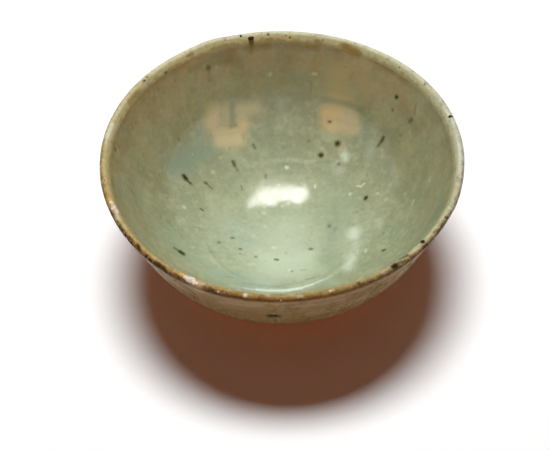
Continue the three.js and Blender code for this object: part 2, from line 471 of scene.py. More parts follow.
def sectionObject(name, points):
    mesh = bpy.data.meshes.new(name)
    places = [(p["place"].x * mm, 0, p["place"].y * mm) for p in points]
    mesh.from_pydata(places, [(i, i + 1) for i in range(len(points) - 1)], [])
    lengths, total = [], 0.0
    for i, p in enumerate(points):
        total += (p["place"] - points[max(i - 1, 0)]["place"]).length * mm
        lengths.append(total)
    for key in ("coat", "rings", "nibble", "across"):
        mesh.attributes.new(key, "FLOAT", "POINT").data.foreach_set("value", [p[key] for p in points])
    mesh.attributes.new("along", "FLOAT", "POINT").data.foreach_set("value", lengths)
    for key in ("outward", "slide"):
        values = [v for p in points for v in (p[key].x, 0, p[key].y)]
        mesh.attributes.new(key, "FLOAT_VECTOR", "POINT").data.foreach_set("vector", values)
    piece = bpy.data.objects.new(name, mesh)
    bpy.context.collection.objects.link(piece)
    return piece


def giveInputs(piece, tree, values):  # sets a modifier's inputs by their identifiers
    modifier = piece.modifiers.new(tree.name, "NODES")
    modifier.node_group = tree
    for item in tree.interface.items_tree:
        if item.in_out == "INPUT" and item.name in values:
            modifier[item.identifier] = values[item.name]
    bpy.context.view_layer.update()


def plainMesh(piece, name):  # the evaluated tree becomes the piece's own mesh
    evaluated = piece.evaluated_get(bpy.context.evaluated_depsgraph_get())
    mesh = bpy.data.meshes.new_from_object(evaluated, depsgraph=bpy.context.evaluated_depsgraph_get())
    piece.modifiers.clear()
    piece.data = mesh
    mesh.name = name
    return piece


turningLengths = {  # what a piece has if its own dictionary says nothing else
    "Ring Depth": 0,
    "Ring Spacing": 5,
    "Broad Depth": 0.25,
    "Broad Size": 22,
    "Fine Depth": 0.05,
    "Fine Size": 5,
    "Nibble Depth": 0.3,
    "Nibble Size": 2.6,
    "Wander Depth": 0,
    "Wander Size": 9,
}
turning = {"segments": 420, "seed": 3, "crispAngle": 38}


def turned(name, points, finish, settings):
    piece = sectionObject(name, points)
    values = {"Finish": finish, "Segments": settings.get("segments", turning["segments"])}
    for key, value in turningLengths.items():
        values[key] = settings.get(key, value) * mm
    values["Seed"] = float(turning["seed"])
    values["Crisp Angle"] = math.radians(turning["crispAngle"])
    giveInputs(piece, turningTree, values)
    return plainMesh(piece, name)


print("stage: turning tree built")


# Shader groups for effects that several finishes share. Sizes are in millimetres.

def shaderGroup(name, sizes, results, places=("Vector",)):
    inputs = [(label, "NodeSocketVector") for label in places]
    inputs += [(label, "NodeSocketFloat", first) for label, first in sizes.items()]
    return newGroup(name, "ShaderNodeTree", inputs, [(label, "NodeSocketFloat") for label in results])


def softEdge(tree, distance, reach, softness):  # full inside the reach, nothing outside it
    inner = maths(tree, "MULTIPLY", reach, maths(tree, "SUBTRACT", 1, softness))
    outer = maths(tree, "MULTIPLY", reach, maths(tree, "ADD", 1, softness))
    return fade(tree, distance, outer, inner)


def coveredPart(tree, value, given):  # the part of a noise above the edge that gives the cover
    edge = maths(tree, "SUBTRACT", 1, given["Cover"])
    low = maths(tree, "SUBTRACT", edge, given["Softness"])
    return fade(tree, value, low, maths(tree, "ADD", edge, given["Softness"]))


def buildFlecks():  # scattered round specks, as a mask
    sizes = {"Spacing": 4, "Size": 0.4, "Share": 0.5, "Softness": 0.4}
    tree, given, result = shaderGroup("flecks", sizes, ["Mask"])
    smallest, spread = 0.45, 0.9
    metres = maths(tree, "MULTIPLY", given["Spacing"], mm)
    cells = vectors(tree, "SCALE", given["Vector"], scale=maths(tree, "DIVIDE", 1, metres))
    cell = addNode(tree, "ShaderNodeTexVoronoi", {"Vector": cells, "Scale": 1}).outputs
    random = addNode(tree, "ShaderNodeSeparateColor", {0: cell["Color"]}).outputs
    away = maths(tree, "MULTIPLY", cell["Distance"], given["Spacing"])
    growth = maths(tree, "MULTIPLY_ADD", random["Green"], spread, smallest)
    reach = maths(tree, "MULTIPLY", given["Size"], growth)
    spot = softEdge(tree, away, reach, given["Softness"])
    picked = maths(tree, "LESS_THAN", random["Red"], given["Share"])
    giveValue(tree, result["Mask"], maths(tree, "MULTIPLY", spot, picked))
    return tree


def buildClouds():  # soft patches, as a mask
    sizes = {"Size": 10, "Cover": 0.5, "Softness": 0.15, "Detail": 3, "Seed": 0}
    tree, given, result = shaderGroup("clouds", sizes, ["Mask", "Value"])
    size = maths(tree, "MULTIPLY", given["Size"], mm)
    cloud = softNoise(tree, given["Vector"], size, given["Detail"], roughness=0.55, seed=given["Seed"])
    giveValue(tree, result["Mask"], coveredPart(tree, cloud, given))
    giveValue(tree, result["Value"], cloud)
    return tree


def buildRuns():  # streaks that run down the wall, as a mask
    sizes = {"Width": 3, "Length": 25, "Cover": 0.5, "Softness": 0.15, "Seed": 0}
    tree, given, result = shaderGroup("runs", sizes, ["Mask", "Value"])
    trueRadius = 50  # how far from the axis a run has its stated width
    place = apart(tree, given["Vector"])
    outward = together(tree, X=place["X"], Y=place["Y"])
    radius = maths(tree, "MAXIMUM", vectors(tree, "LENGTH", outward), mm)
    direction = vectors(tree, "SCALE", outward, scale=maths(tree, "DIVIDE", 1, radius))
    around = vectors(tree, "SCALE", direction, scale=maths(tree, "DIVIDE", trueRadius, given["Width"]))
    slope = maths(tree, "ADD", radius, place["Z"])
    down = maths(tree, "DIVIDE", maths(tree, "DIVIDE", slope, mm), given["Length"])
    lifted = vectors(tree, "ADD", around, together(tree, Z=down))
    values = {"Vector": lifted, "W": given["Seed"], "Scale": 1, "Detail": 3}
    streak = addNode(tree, "ShaderNodeTexNoise", values, noise_dimensions="4D").outputs["Fac"]
    giveValue(tree, result["Mask"], coveredPart(tree, streak, given))
    giveValue(tree, result["Value"], streak)
    return tree


def buildMark():  # one mark between two places, as a mask
    sizes = {"Width": 1, "Softness": 0.4, "Strength": 1}
    tree, given, result = shaderGroup("mark", sizes, ["Mask", "Halo"], ("Vector", "Start", "End"))
    leastSquare = 1e-10  # so that a round mark, whose ends are one place, divides by something
    path = vectors(tree, "SUBTRACT", given["End"], given["Start"])
    away = vectors(tree, "SUBTRACT", given["Vector"], given["Start"])
    square = maths(tree, "ADD", vectors(tree, "DOT_PRODUCT", path, path), leastSquare)
    share = maths(tree, "DIVIDE", vectors(tree, "DOT_PRODUCT", away, path), square, clamp=True)
    nearest = vectors(tree, "ADD", given["Start"], vectors(tree, "SCALE", path, scale=share))
    distance = vectors(tree, "DISTANCE", given["Vector"], nearest)
    for name, extra in (("Mask", 0), ("Halo", 1)):
        reach = maths(tree, "MULTIPLY", maths(tree, "ADD", given["Width"], extra), mm / 2)
        mask = softEdge(tree, distance, reach, given["Softness"])
        giveValue(tree, result[name], maths(tree, "MULTIPLY", mask, given["Strength"]))
    return tree


def buildSkin():  # the fine relief of a fired glaze, as a height
    sizes = {"Ripple": 0.01, "Ripple Size": 3, "Grain": 0.002, "Grain Size": 0.5,
             "Pit Depth": 0.03, "Pit Share": 0.4}
    tree, given, result = shaderGroup("glazeSkin", sizes, ["Height"])
    vector = given["Vector"]
    ripple = softNoise(tree, vector, maths(tree, "MULTIPLY", given["Ripple Size"], mm), seed=4)
    grain = softNoise(tree, vector, maths(tree, "MULTIPLY", given["Grain Size"], mm), seed=5)
    values = {"Vector": vector, "Spacing": 2.2, "Size": 0.16, "Share": given["Pit Share"], "Softness": 0.7}
    pits = useGroup(tree, flecks, values)["Mask"]
    height = maths(tree, "MULTIPLY", ripple, given["Ripple"])
    height = maths(tree, "MULTIPLY_ADD", grain, given["Grain"], height)
    depth = maths(tree, "MULTIPLY", given["Pit Depth"], -1)
    giveValue(tree, result["Height"], maths(tree, "MULTIPLY_ADD", pits, depth, height))
    return tree


flecks = buildFlecks()
clouds = buildClouds()
runs = buildRuns()
mark = buildMark()
glazeSkin = buildSkin()
print("stage: shader groups built")


def newFinish(name):
    finish = bpy.data.materials.new(name)
    finish.use_nodes = True
    return finish


def plainFinish(name, colour, roughness):
    finish = newFinish(name)
    shader = finish.node_tree.nodes["Principled BSDF"]
    shader.inputs["Base Color"].default_value = (*colour, 1)
    shader.inputs["Roughness"].default_value = roughness
    return finish


celadon = newFinish("celadonGlaze")
olive = newFinish("oliveGlaze")
ironLip = newFinish("ironLipGlaze")
bareClay = newFinish("bareClay")
gritFinish = newFinish("kilnGrit")
ironFinish = newFinish("ironNodule")


# The turned pieces

# Their surfaces are cut into steps; hidden faces need few. A span is where a feature comes in or
# goes out, in millimetres from the axis (Radius) or upwards (Height).

innerLook = {
    "wallSteps": 64,
    "floorSteps": 84,
    "hiddenWallSteps": 16,
    "hiddenFloorSteps": 8,
    "Ring Depth": 0.012,
    "Ring Spacing": 6,
    "ringsInRadius": (35, 41),
    "ringsOutHeight": (54, 58),
    "ridgeRadius": 33.2,
    "ridgeHeight": 0.05,
    "ridgeWidth": 0.9,
}
outerLook = {
    "wallSteps": 64,
    "stepPower": 1.15,
    "hiddenSteps": 20,
    "beadHeight": 0.5,
    "beadWidth": 1.1,
    "Ring Depth": 0.1,
    "Ring Spacing": 6.5,
    "ringsFullHeight": 14,
    "ringsOutHeight": (52, 58),
    "Wander Depth": 2.4,
    "Wander Size": 8,
    "wanderEndHeight": 22,
}
lipLook = {
    "bandSteps": 6,
    "roundSteps": 16,
    "hiddenSteps": 8,
    "nibblesInHeight": (59.2, 61),
}
clayLook = {
    "segments": 300,
    "Ring Depth": 0.06,
    "Ring Spacing": 1.6,
    "coat": 0.3,
    "wallSteps": 16,
    "lipSteps": 8,
    "innerSteps": 18,
    "floorSteps": 8,
    "bareTop": 1.9,
    "hiddenStart": 2.1,
    "ringSideSteps": (8, 12),
    "ringSideEnds": (0.84, 0.16),
    "marksInHeight": (0.9, 1.6),
    "marksOutHeight": (6.2, 7),
}
footWellLook = {
    "segments": 240,
    "steps": 30,
    "smoothRim": 3,
}


def flat(radius, level):
    return Vector((radius, level))


def fadeShare(value, low, high):
    share = min(max((value - low) / (high - low), 0), 1)
    return share * share * (3 - 2 * share)


def ridged(places):  # a low ring round the well
    made = []
    for i, place in enumerate(places):
        way = wayAt(places, i)
        away = (place.x - innerLook["ridgeRadius"]) / innerLook["ridgeWidth"]
        lift = innerLook["ridgeHeight"] * math.exp(-away**2)
        made.append(place + Vector((way.y, -way.x)) * lift)
    return made


def makeInnerGlaze():
    look = innerLook
    walls = steps(wellEdge, lipBand, look["wallSteps"])
    floors = steps(0, 1, look["floorSteps"])[:-1]
    under = [floorAt(s) for s in steps(0, 1, look["hiddenFloorSteps"])[:-1]]
    under += [inside(u) for u in steps(wellEdge, lipBand, look["hiddenWallSteps"])]
    over = [inside(u, 1) for u in reversed(walls)] + [floorAt(s, 1) for s in reversed(floors)]

    def rings(place):
        return fadeShare(place.x, *look["ringsInRadius"]) * (1 - fadeShare(place.y, *look["ringsOutHeight"]))

    seen = stations(ridged(over), coat=1, rings=rings)
    return turned("innerGlaze", hidden(under) + seen, celadon, look)


def makeOuterGlaze():
    look = outerLook
    walls = steps(glazeLine, lipBand, look["wallSteps"], look["stepPower"])
    lowest = glazeLine * wallRise + bowl["footRingHeight"]

    def bead(u):  # the glaze is thicker where it ends
        return 1 + look["beadHeight"] * math.exp(-((u - glazeLine) * wallRise / look["beadWidth"]) ** 2)

    def wander(place):
        return 1 - fadeShare(place.y, lowest, look["wanderEndHeight"])

    def rings(place):
        full = fadeShare(place.y, lowest, look["ringsFullHeight"])
        return full * (1 - fadeShare(place.y, *look["ringsOutHeight"]))

    seen = stations([outside(u, bead(u)) for u in walls], coat=1, rings=rings, slide=wander)
    under = hidden([outside(u) for u in reversed(steps(glazeLine, lipBand, look["hiddenSteps"]))])
    under[-1]["slide"] = seen[0]["slide"]
    return turned("outerGlaze", seen + under + [seen[0]], olive, look)


def makeLipGlaze():
    bands = steps(lipBand, 1, lipLook["bandSteps"])[:-1]
    rounds = steps(0, 1, lipLook["roundSteps"])
    over = [outside(u, 1) for u in bands] + [lipAt(s, 1) for s in rounds]
    over += [inside(u, 1) for u in reversed(bands)]
    share = [i / (len(over) - 1) for i in range(len(over))]

    def nibbles(place):
        return fadeShare(place.y, *lipLook["nibblesInHeight"])

    seen = stations(over, coat=1, nibble=nibbles, across=share)
    under = [lipAt(s) for s in reversed(steps(0, 1, lipLook["hiddenSteps"]))]
    under = [inside(lipBand)] + under + [outside(lipBand)]
    return turned("lipGlaze", seen + hidden(under) + [seen[0]], ironLip, lipLook)


def makeClayBody():
    look = clayLook
    base = [flat(0, bowl["footRingHeight"]), flat(ringTopInner, bowl["footRingHeight"])]
    bare = [outside(u) for u in steps(0, glazeLine * look["bareTop"], look["wallSteps"])]
    covered = [outside(u) for u in steps(glazeLine * look["hiddenStart"], 1, look["wallSteps"])]
    covered += [lipAt(s) for s in steps(0, 1, look["lipSteps"])]
    covered += [inside(u) for u in reversed(steps(wellEdge, 1, look["innerSteps"]))]
    covered += [floorAt(s) for s in reversed(steps(0, 1, look["floorSteps"])[:-1])]
    seen = stations(bare, coat=look["coat"], rings=1)
    return turned("clayBody", hidden(base) + seen + hidden(covered), bareClay, look)


def rounded(corner, before, after, radius, count=5):
    first = corner + (before - corner).normalized() * radius
    last = corner + (after - corner).normalized() * radius
    return [first * (1 - t) ** 2 + corner * 2 * t * (1 - t) + last * t**2 for t in steps(0, 1, count)]


def makeFootRing():
    look = clayLook
    topInner = flat(ringTopInner, bowl["footRingHeight"])
    topOuter = flat(bowl["wallFootRadius"], bowl["footRingHeight"])
    lowInner, lowOuter = flat(ringBottomInner, 0), flat(ringBottomOuter, 0)
    (downSteps, upSteps), (downEnd, upStart) = look["ringSideSteps"], look["ringSideEnds"]
    over = [topInner + (lowInner - topInner) * t for t in steps(0, downEnd, downSteps)]
    over += rounded(lowInner, topInner, lowOuter, bowl["footEdge"])
    over += rounded(lowOuter, lowInner, topOuter, bowl["footEdge"])
    over += [lowOuter + (topOuter - lowOuter) * t for t in steps(upStart, 1, upSteps)]

    def marks(place):
        return fadeShare(place.y, *look["marksInHeight"]) * (1 - fadeShare(place.y, *look["marksOutHeight"]))

    seen = stations(over, coat=lambda place: look["coat"] * marks(place), rings=marks)
    return turned("footRing", seen + hidden([topInner]), bareClay, look)


def makeFootWellGlaze():
    look = footWellLook
    lean = bowl["footRingTaper"] / (bowl["footRingHeight"] - bowl["footEdge"])
    low = bowl["footRingHeight"] - bowl["footWellGlaze"]
    edge = ringTopInner + bowl["footWellGlaze"] * lean
    over = [flat(edge * s, low) for s in steps(0, 1, look["steps"])]
    seen = stations(over, coat=lambda place: 1 - fadeShare(place.x, edge - look["smoothRim"], edge))
    back = hidden([flat(ringTopInner, bowl["footRingHeight"]), flat(0, bowl["footRingHeight"])])
    return turned("footWellGlaze", seen + back, olive, look)


clayBody = makeClayBody()
footRing = makeFootRing()
innerGlaze = makeInnerGlaze()
outerGlaze = makeOuterGlaze()
lipGlaze = makeLipGlaze()
footWellGlaze = makeFootWellGlaze()
print("stage: turned pieces made")


# Places on the finished bowl, found along the camera's line through a pixel of the photograph

def treeOf(*pieces):
    work = bmesh.new()
    for piece in pieces:
        work.from_mesh(piece.data)
    tree = BVHTree.FromBMesh(work)
    work.free()
    return tree


shownTree = treeOf(innerGlaze, lipGlaze, outerGlaze)


def spotAt(x, y):
    place, normal, _, _ = shownTree.ray_cast(sightPoint(), sightLine(x, y))
    return place, normal


def strokeEnds(stroke):
    reach, turn = stroke.get("long", 0) / 2, math.radians(stroke.get("turn", 0))
    step = Vector((math.cos(turn), math.sin(turn))) * reach
    middle = Vector((stroke["x"], stroke["y"]))
    ends = [spotAt(*(middle - step))[0], spotAt(*(middle + step))[0]]
    known = [end for end in ends if end is not None]
    if not known:
        raise ValueError(f"the mark at {stroke['x']}, {stroke['y']} misses the bowl")
    return known[0], known[-1]


def markSums(tree, vector, strokes, softness, names=("Mask", "Halo")):  # the strongest of many marks
    totals = {}
    for stroke in strokes:
        start, end = strokeEnds(stroke)
        values = {"Vector": vector, "Start": start, "End": end, "Width": stroke["wide"],
                  "Softness": stroke.get("softness", softness), "Strength": stroke.get("strength", 1)}
        made = useGroup(tree, mark, values)
        for name in names:
            known = name in totals
            totals[name] = maths(tree, "MAXIMUM", totals[name], made[name]) if known else made[name]
    return totals


def markSum(tree, vector, strokes, softness):
    return markSums(tree, vector, strokes, softness, ("Mask",))["Mask"]


def marked(tree, vector, strokes, softness, colour, tint):
    return blendColours(tree, markSum(tree, vector, strokes, softness), colour, tint)


# One shader group laid on once for each layer. A layer names its colour, its strength and the
# group's own inputs; shared values go to every layer.

def layered(tree, group, vector, layers, colour, look, within=None, **shared):
    for layer in layers:
        values = {name.title(): value for name, value in {**shared, **layer}.items()}
        tint, strength = look[values.pop("Colour")], values.pop("Strength")
        mask = useGroup(tree, group, {"Vector": vector, **values})["Mask"]
        if within is not None:
            mask = maths(tree, "MULTIPLY", mask, within)
        colour = maskedBlend(tree, mask, strength, colour, tint)
    return colour


def jittered(tree, vector, depth, size, seed):  # moves a pattern's places about, for ragged edges
    values = {"Vector": vector, "W": seed, "Scale": 1 / (size * mm), "Detail": 3}
    wobble = addNode(tree, "ShaderNodeTexNoise", values, noise_dimensions="4D").outputs["Color"]
    centred = vectors(tree, "SUBTRACT", wobble, (0.5, 0.5, 0.5))
    return vectors(tree, "ADD", vector, vectors(tree, "SCALE", centred, scale=depth * mm * 2))


def objectVector(tree):
    return tree.nodes.new("ShaderNodeTexCoord").outputs["Object"]


def finishSurface(finish, colour, roughness, height, **sockets):
    tree = finish.node_tree
    shader = tree.nodes["Principled BSDF"]
    giveValue(tree, shader.inputs["Base Color"], colour)
    giveValue(tree, shader.inputs["Roughness"], roughness)
    bump = addNode(tree, "ShaderNodeBump", {"Height": height, "Strength": 1, "Distance": mm})
    giveValue(tree, shader.inputs["Normal"], bump.outputs[0])
    for name, value in sockets.items():
        giveValue(tree, shader.inputs[name.replace("_", " ")], value)


# The celadon glaze inside. Colours are linear; a ramp's shares go from the well's middle to its
# edge, and from there up the wall to the lip. Reach is a span along an axis, and heights is one
# upwards, both in millimetres. A mark's place and length are in pixels of the photograph, its turn
# is in degrees there, and its width is in millimetres on the glaze.

celadonLook = {
    "well": [(0.0, (0.42, 0.50, 0.34)), (0.45, (0.42, 0.50, 0.335)), (0.86, (0.395, 0.465, 0.305)),
             (1.0, (0.36, 0.41, 0.26))],
    "wall": [(0.0, (0.345, 0.395, 0.24)), (0.12, (0.335, 0.37, 0.215)), (0.30, (0.345, 0.35, 0.192)),
             (0.46, (0.365, 0.35, 0.182)), (0.52, (0.41, 0.37, 0.19)), (0.70, (0.44, 0.385, 0.205)),
             (0.86, (0.43, 0.345, 0.155)), (0.95, (0.41, 0.285, 0.10)), (1.0, (0.41, 0.265, 0.08))],
    "wallHeights": (19, 60.5),
    "wellEdge": (0.93, 1.1),
    "driftDepth": 7,
    # farShadedTone and nearLitTone are painted shade on the far side and painted light on the near side, as
    # the lamp stands behind the bowl
    "farShadedTone": (0.88, 0.82, 0.73),
    "nearLitTone": (1.0, 1.01, 1.02),
    "leftTone": (1.03, 1.01, 1.04),
    "rightTone": (0.93, 1.01, 1.13),
    # nearHighReflection: painted reflection, the near upper wall brighter and bluer
    "nearHighReflection": (0.98, 1.12, 1.22),
    "rightHighTone": (0.83, 0.98, 1.2),
    "leftHighTone": (0.87, 0.88, 0.92),
    # farHighReflection: painted reflection of brown surroundings, the far upper wall warmer
    "farHighReflection": (1.2, 0.9, 0.68),
    # farReflectedTan: painted reflection, the far upper wall mirrors brown surroundings and shows tan
    "farReflectedTan": (0.66, 0.52, 0.30),
    "edgeTan": (0.68, 0.54, 0.26),
    "cream": (0.53, 0.55, 0.34),
    "blue": (0.235, 0.305, 0.195),
    # paleSheen: painted reflection, bluish and bright
    "paleSheen": (0.46, 0.61, 0.50),
    "earth": (0.26, 0.165, 0.035),
    "gold": (0.40, 0.25, 0.07),
    "brown": (0.35, 0.27, 0.13),
    "shade": (0.20, 0.205, 0.095),
    "sand": (0.62, 0.51, 0.27),
    # warmReflection: peach, the colour of painted reflections of warm-coloured things
    "warmReflection": (0.72, 0.48, 0.21),
    # paleWellLight: painted light and reflection in the well
    "paleWellLight": (0.60, 0.70, 0.52),
    "white": (0.66, 0.73, 0.58),
    # gleam: the colour of the painted highlight along the well's near edge
    "gleam": (0.80, 0.90, 0.80),
    "iron": (0.045, 0.04, 0.001),
    "ironHalo": (0.17, 0.15, 0.055),
    "olive": (0.17, 0.20, 0.06),
    "speck": (0.72, 0.74, 0.54),
    "darkGrain": (0.93, 0.93, 0.91),
    "paleGrain": (1.06, 1.06, 1.08),
    "grainSize": 1.7,
    "grainSpan": (0.25, 0.75),
    "runHeights": (27, 42),
    "farReflectedTanStrength": 0.5,
    "edgeTanStrength": 0.8,
    "faintIron": 0.5,
    "ironSoftness": 0.75,
    "haloStrength": 0.3,
    "roughness": (0.08, 0.15),
    "roughnessSpan": (0.3, 0.7),
    "ironRoughness": 0.25,
    "gloss": 0.5,
    "ironGloss": 0.08,
    "ripple": 0.012,
    "pits": 0.02,
}
celadonSides = [
    # near to far: painted light and painted shade
    at(tones=("nearLitTone", "farShadedTone"), axis="Y", reach=(-25, 25), heights=(44, 30)),
    at(tones=("leftTone", "rightTone"), axis="X", reach=(-60, 60), heights=(19, 35)),
]
celadonCorners = [
    # painted reflection: the near upper wall brighter and bluer
    at(tone="nearHighReflection", axis="Y", reach=(10, -45), heights=(30, 42)),
    at(tone="rightHighTone", axis="X", reach=(25, 55), heights=(50, 57)),
    at(tone="leftHighTone", axis="X", reach=(-25, -55), heights=(48, 54)),
    # painted reflection of brown surroundings: the far upper wall warmer
    at(tone="farHighReflection", axis="Y", reach=(15, 50), heights=(45, 51)),
]
# painted reflection of brown surroundings on the far upper wall; the wall ramp holds the glaze's own
# thinning
farReflectedTan = at(reach=(10, 50), heights=(35, 43), top=(60, 55))
edgeTan = at(reach=(10, 50), heights=(57.6, 59.4))  # its reach is along X and Y together
celadonClouds = [
    at(colour="cream", size=7, cover=0.45, seed=11, strength=0.3),
    at(colour="blue", size=8, cover=0.42, seed=12, strength=0.3),
    at(colour="brown", size=5, cover=0.4, seed=13, strength=0.1),
    at(colour="cream", size=3.2, cover=0.42, seed=14, strength=0.24),
    at(colour="blue", size=4.2, cover=0.4, seed=16, strength=0.22),
    at(colour="shade", size=3, cover=0.34, seed=15, strength=0.12),
]
celadonRuns = [
    at(colour="cream", width=7, seed=21, strength=0.24),
    at(colour="earth", width=6, seed=23, strength=0.2),
    at(colour="sand", width=5, seed=24, strength=0.18),
]
celadonFlecks = [
    at(colour="speck", spacing=3.2, size=0.3, share=0.5, strength=0.25),
    at(colour="speck", spacing=7, size=0.7, share=0.5, strength=0.22),
    at(colour="ironHalo", spacing=2.6, size=0.24, share=0.5, strength=0.3),
    at(colour="ironHalo", spacing=5.5, size=0.6, share=0.35, strength=0.3),
]
ironMarks = [
    at(x=185.2, y=177.6, long=3.5, turn=50, wide=2),
    at(x=188.2, y=181.2, long=5, turn=46, wide=1.2, strength=0.85),
    at(x=191.8, y=184.2, long=2, turn=42, wide=1.2, strength=0.3),
    at(x=205.8, y=183, long=2, turn=30, wide=1, strength=0.7),
    at(x=209.4, y=186.2, long=7, turn=45, wide=0.7, strength=0.5),
    at(x=233.8, y=163.6, long=4, turn=64, wide=1.4, strength=0.75),
    at(x=236.4, y=168.6, long=4.5, turn=58, wide=1, strength=0.5),
    at(x=254.1, y=146.4, long=3.6, turn=60, wide=1.2, strength=0.5),
    at(x=382.4, y=139.4, long=4.5, turn=118, wide=1.5, strength=0.8),
    at(x=379.4, y=144.2, long=5, turn=125, wide=1.1, strength=0.6),
    at(x=365.8, y=198, long=1.4, turn=122, wide=1.6), at(x=181.4, y=252.6, long=3, turn=34, wide=2.1),
    at(x=177.4, y=250, long=7, turn=34, wide=1, strength=0.7),
    at(x=201.8, y=209.6, long=2.6, turn=38, wide=0.8, strength=0.75),
    at(x=415.2, y=109, long=10, turn=99, wide=1, strength=0.3),
    at(x=410.6, y=120.6, long=2.5, turn=135, wide=1.7, strength=0.5), at(x=337.6, y=143.5, wide=2.5),
    at(x=321, y=155.2, wide=2.3), at(x=338.8, y=164, wide=1.4, strength=0.6),
    at(x=329.7, y=121.8, long=1.5, wide=1.1, strength=0.65), at(x=308.8, y=141, wide=1.6, strength=0.35),
    at(x=284, y=148, wide=2, strength=0.2), at(x=265.9, y=176.6, long=3, turn=95, wide=1, strength=0.5),
    at(x=241.6, y=187.5, long=4, turn=75, wide=0.9, strength=0.35),
    at(x=356.5, y=212, wide=1.5, strength=0.3), at(x=396.6, y=97.1, wide=1.6),
    at(x=392.6, y=110, wide=1.2, strength=0.5), at(x=219, y=242.3, wide=1.3, strength=0.5),
    at(x=232.6, y=237.8, long=2.4, wide=0.8, strength=0.6),
    at(x=240.4, y=249, long=1.4, wide=0.9, strength=0.6),
    at(x=240.2, y=253.9, long=1.8, wide=0.7, strength=0.4), at(x=255.9, y=256.7, wide=1.2, strength=0.5),
    at(x=311, y=249, long=1.2, wide=1.3, strength=0.6), at(x=329.3, y=226, wide=1.6, strength=0.5),
    at(x=335.4, y=229, wide=2, strength=0.2),
    at(x=383.6, y=250.2, long=1.2, turn=-15, wide=1.2, strength=0.9),
    at(x=383.4, y=233, wide=1.3, strength=0.3),
    at(x=131, y=190.3, long=11, turn=50, wide=0.9, strength=0.22),
    at(x=115.2, y=149.8, long=1.5, turn=90, wide=1.2, strength=0.6),
    at(x=208.4, y=67.6, wide=2, strength=0.5), at(x=209.3, y=75.5, long=9, turn=85, wide=1.5, strength=0.2),
    at(x=179, y=139.6, long=2, turn=60, wide=1.3, strength=0.35), at(x=400.6, y=135.2, wide=2, strength=0.3),
    at(x=352, y=76, long=5, turn=120, wide=1.6, strength=0.15),
    at(x=311, y=88, long=8, turn=95, wide=1.2, strength=0.15),
]
oliveMarks = [
    at(x=276.4, y=259.6, long=2.2, turn=10, wide=1.3), at(x=292, y=271.2, wide=1.1, strength=0.6),
    at(x=310, y=278.5, long=8, turn=-10, wide=1, strength=0.35),
    at(x=213, y=252, long=7, turn=10, wide=1, strength=0.25),
    at(x=197, y=227.5, long=6, turn=20, wide=1, strength=0.25),
    at(x=170, y=224, long=6, turn=50, wide=1.1, strength=0.2),
    at(x=230, y=277, long=6, turn=10, wide=1, strength=0.25),
    at(x=160, y=176, long=4, turn=60, wide=1.2, strength=0.25),
    at(x=303, y=270, long=4, wide=1, strength=0.25),
]
creamMarks = [
    at(x=270.2, y=74.4, wide=1.7, strength=0.7),
    at(x=314.4, y=73.9, long=3, turn=5, wide=1.4, strength=0.85),
    at(x=286.8, y=167.4, long=1, turn=20, wide=1.5, strength=0.8),
    at(x=314.9, y=186.2, long=2, turn=90, wide=1.2, strength=0.65),
    at(x=359.2, y=186.2, long=4, turn=10, wide=1, strength=0.6),
    at(x=363.6, y=184.2, long=2.4, turn=-40, wide=0.9, strength=0.6),
    at(x=350.2, y=194, wide=1.5, strength=0.55), at(x=377.6, y=193.2, wide=1.3, strength=0.35),
    at(x=264.8, y=207.2, wide=1.5, strength=0.45), at(x=264, y=213, wide=1.6, strength=0.4),
    at(x=282.4, y=205.6, wide=1.4, strength=0.6), at(x=273.9, y=247.6, long=1.4, wide=1.2, strength=0.8),
    at(x=289.4, y=270.4, wide=1.2), at(x=365.8, y=250.8, long=2, turn=95, wide=1.2, strength=0.5),
    at(x=184, y=207.2, wide=1.9, strength=0.45), at(x=265.4, y=226.4, wide=1.8, strength=0.35),
    at(x=251, y=264, long=5, turn=-5, wide=1.4, strength=0.35),
    at(x=429.6, y=180.4, long=2.4, turn=95, wide=0.8, strength=0.55),
    at(x=303, y=226, wide=1.8, strength=0.3), at(x=216.6, y=67.2, wide=1.4, strength=0.35),
    at(x=212.8, y=172.2, wide=1.9, strength=0.3), at(x=193, y=247, wide=1.6, strength=0.3),
    at(x=413, y=202.5, long=4, turn=110, wide=1.4, strength=0.3),
    at(x=310.6, y=161, long=9, wide=1, strength=0.16), at(x=279, y=185, wide=1.1, strength=0.5),
    at(x=337.8, y=162, long=4, turn=60, wide=1.1, strength=0.25),
]
# Two peach patches on the far wall: painted reflections of warm-coloured things beside the bowl.
warmReflectionMarks = [
    at(x=331.5, y=113.5, long=9, turn=4, wide=6.4, strength=0.85),
    at(x=331, y=123, long=9, turn=4, wide=6, strength=0.6),
    at(x=347, y=121, long=12, turn=70, wide=6, strength=0.25),
    at(x=242.6, y=129, long=9, turn=104, wide=2, strength=0.6),
    at(x=238, y=125.6, long=6, turn=-30, wide=1.4, strength=0.6),
    at(x=212, y=117.5, long=12, turn=95, wide=6.4, strength=0.22),
    at(x=341, y=82, long=26, turn=88, wide=8, strength=0.38),
    at(x=362, y=80, long=20, turn=60, wide=8, strength=0.3),
    at(x=315, y=66, long=14, turn=90, wide=5, strength=0.15),
    at(x=262, y=62, long=12, turn=90, wide=5, strength=0.15),
]
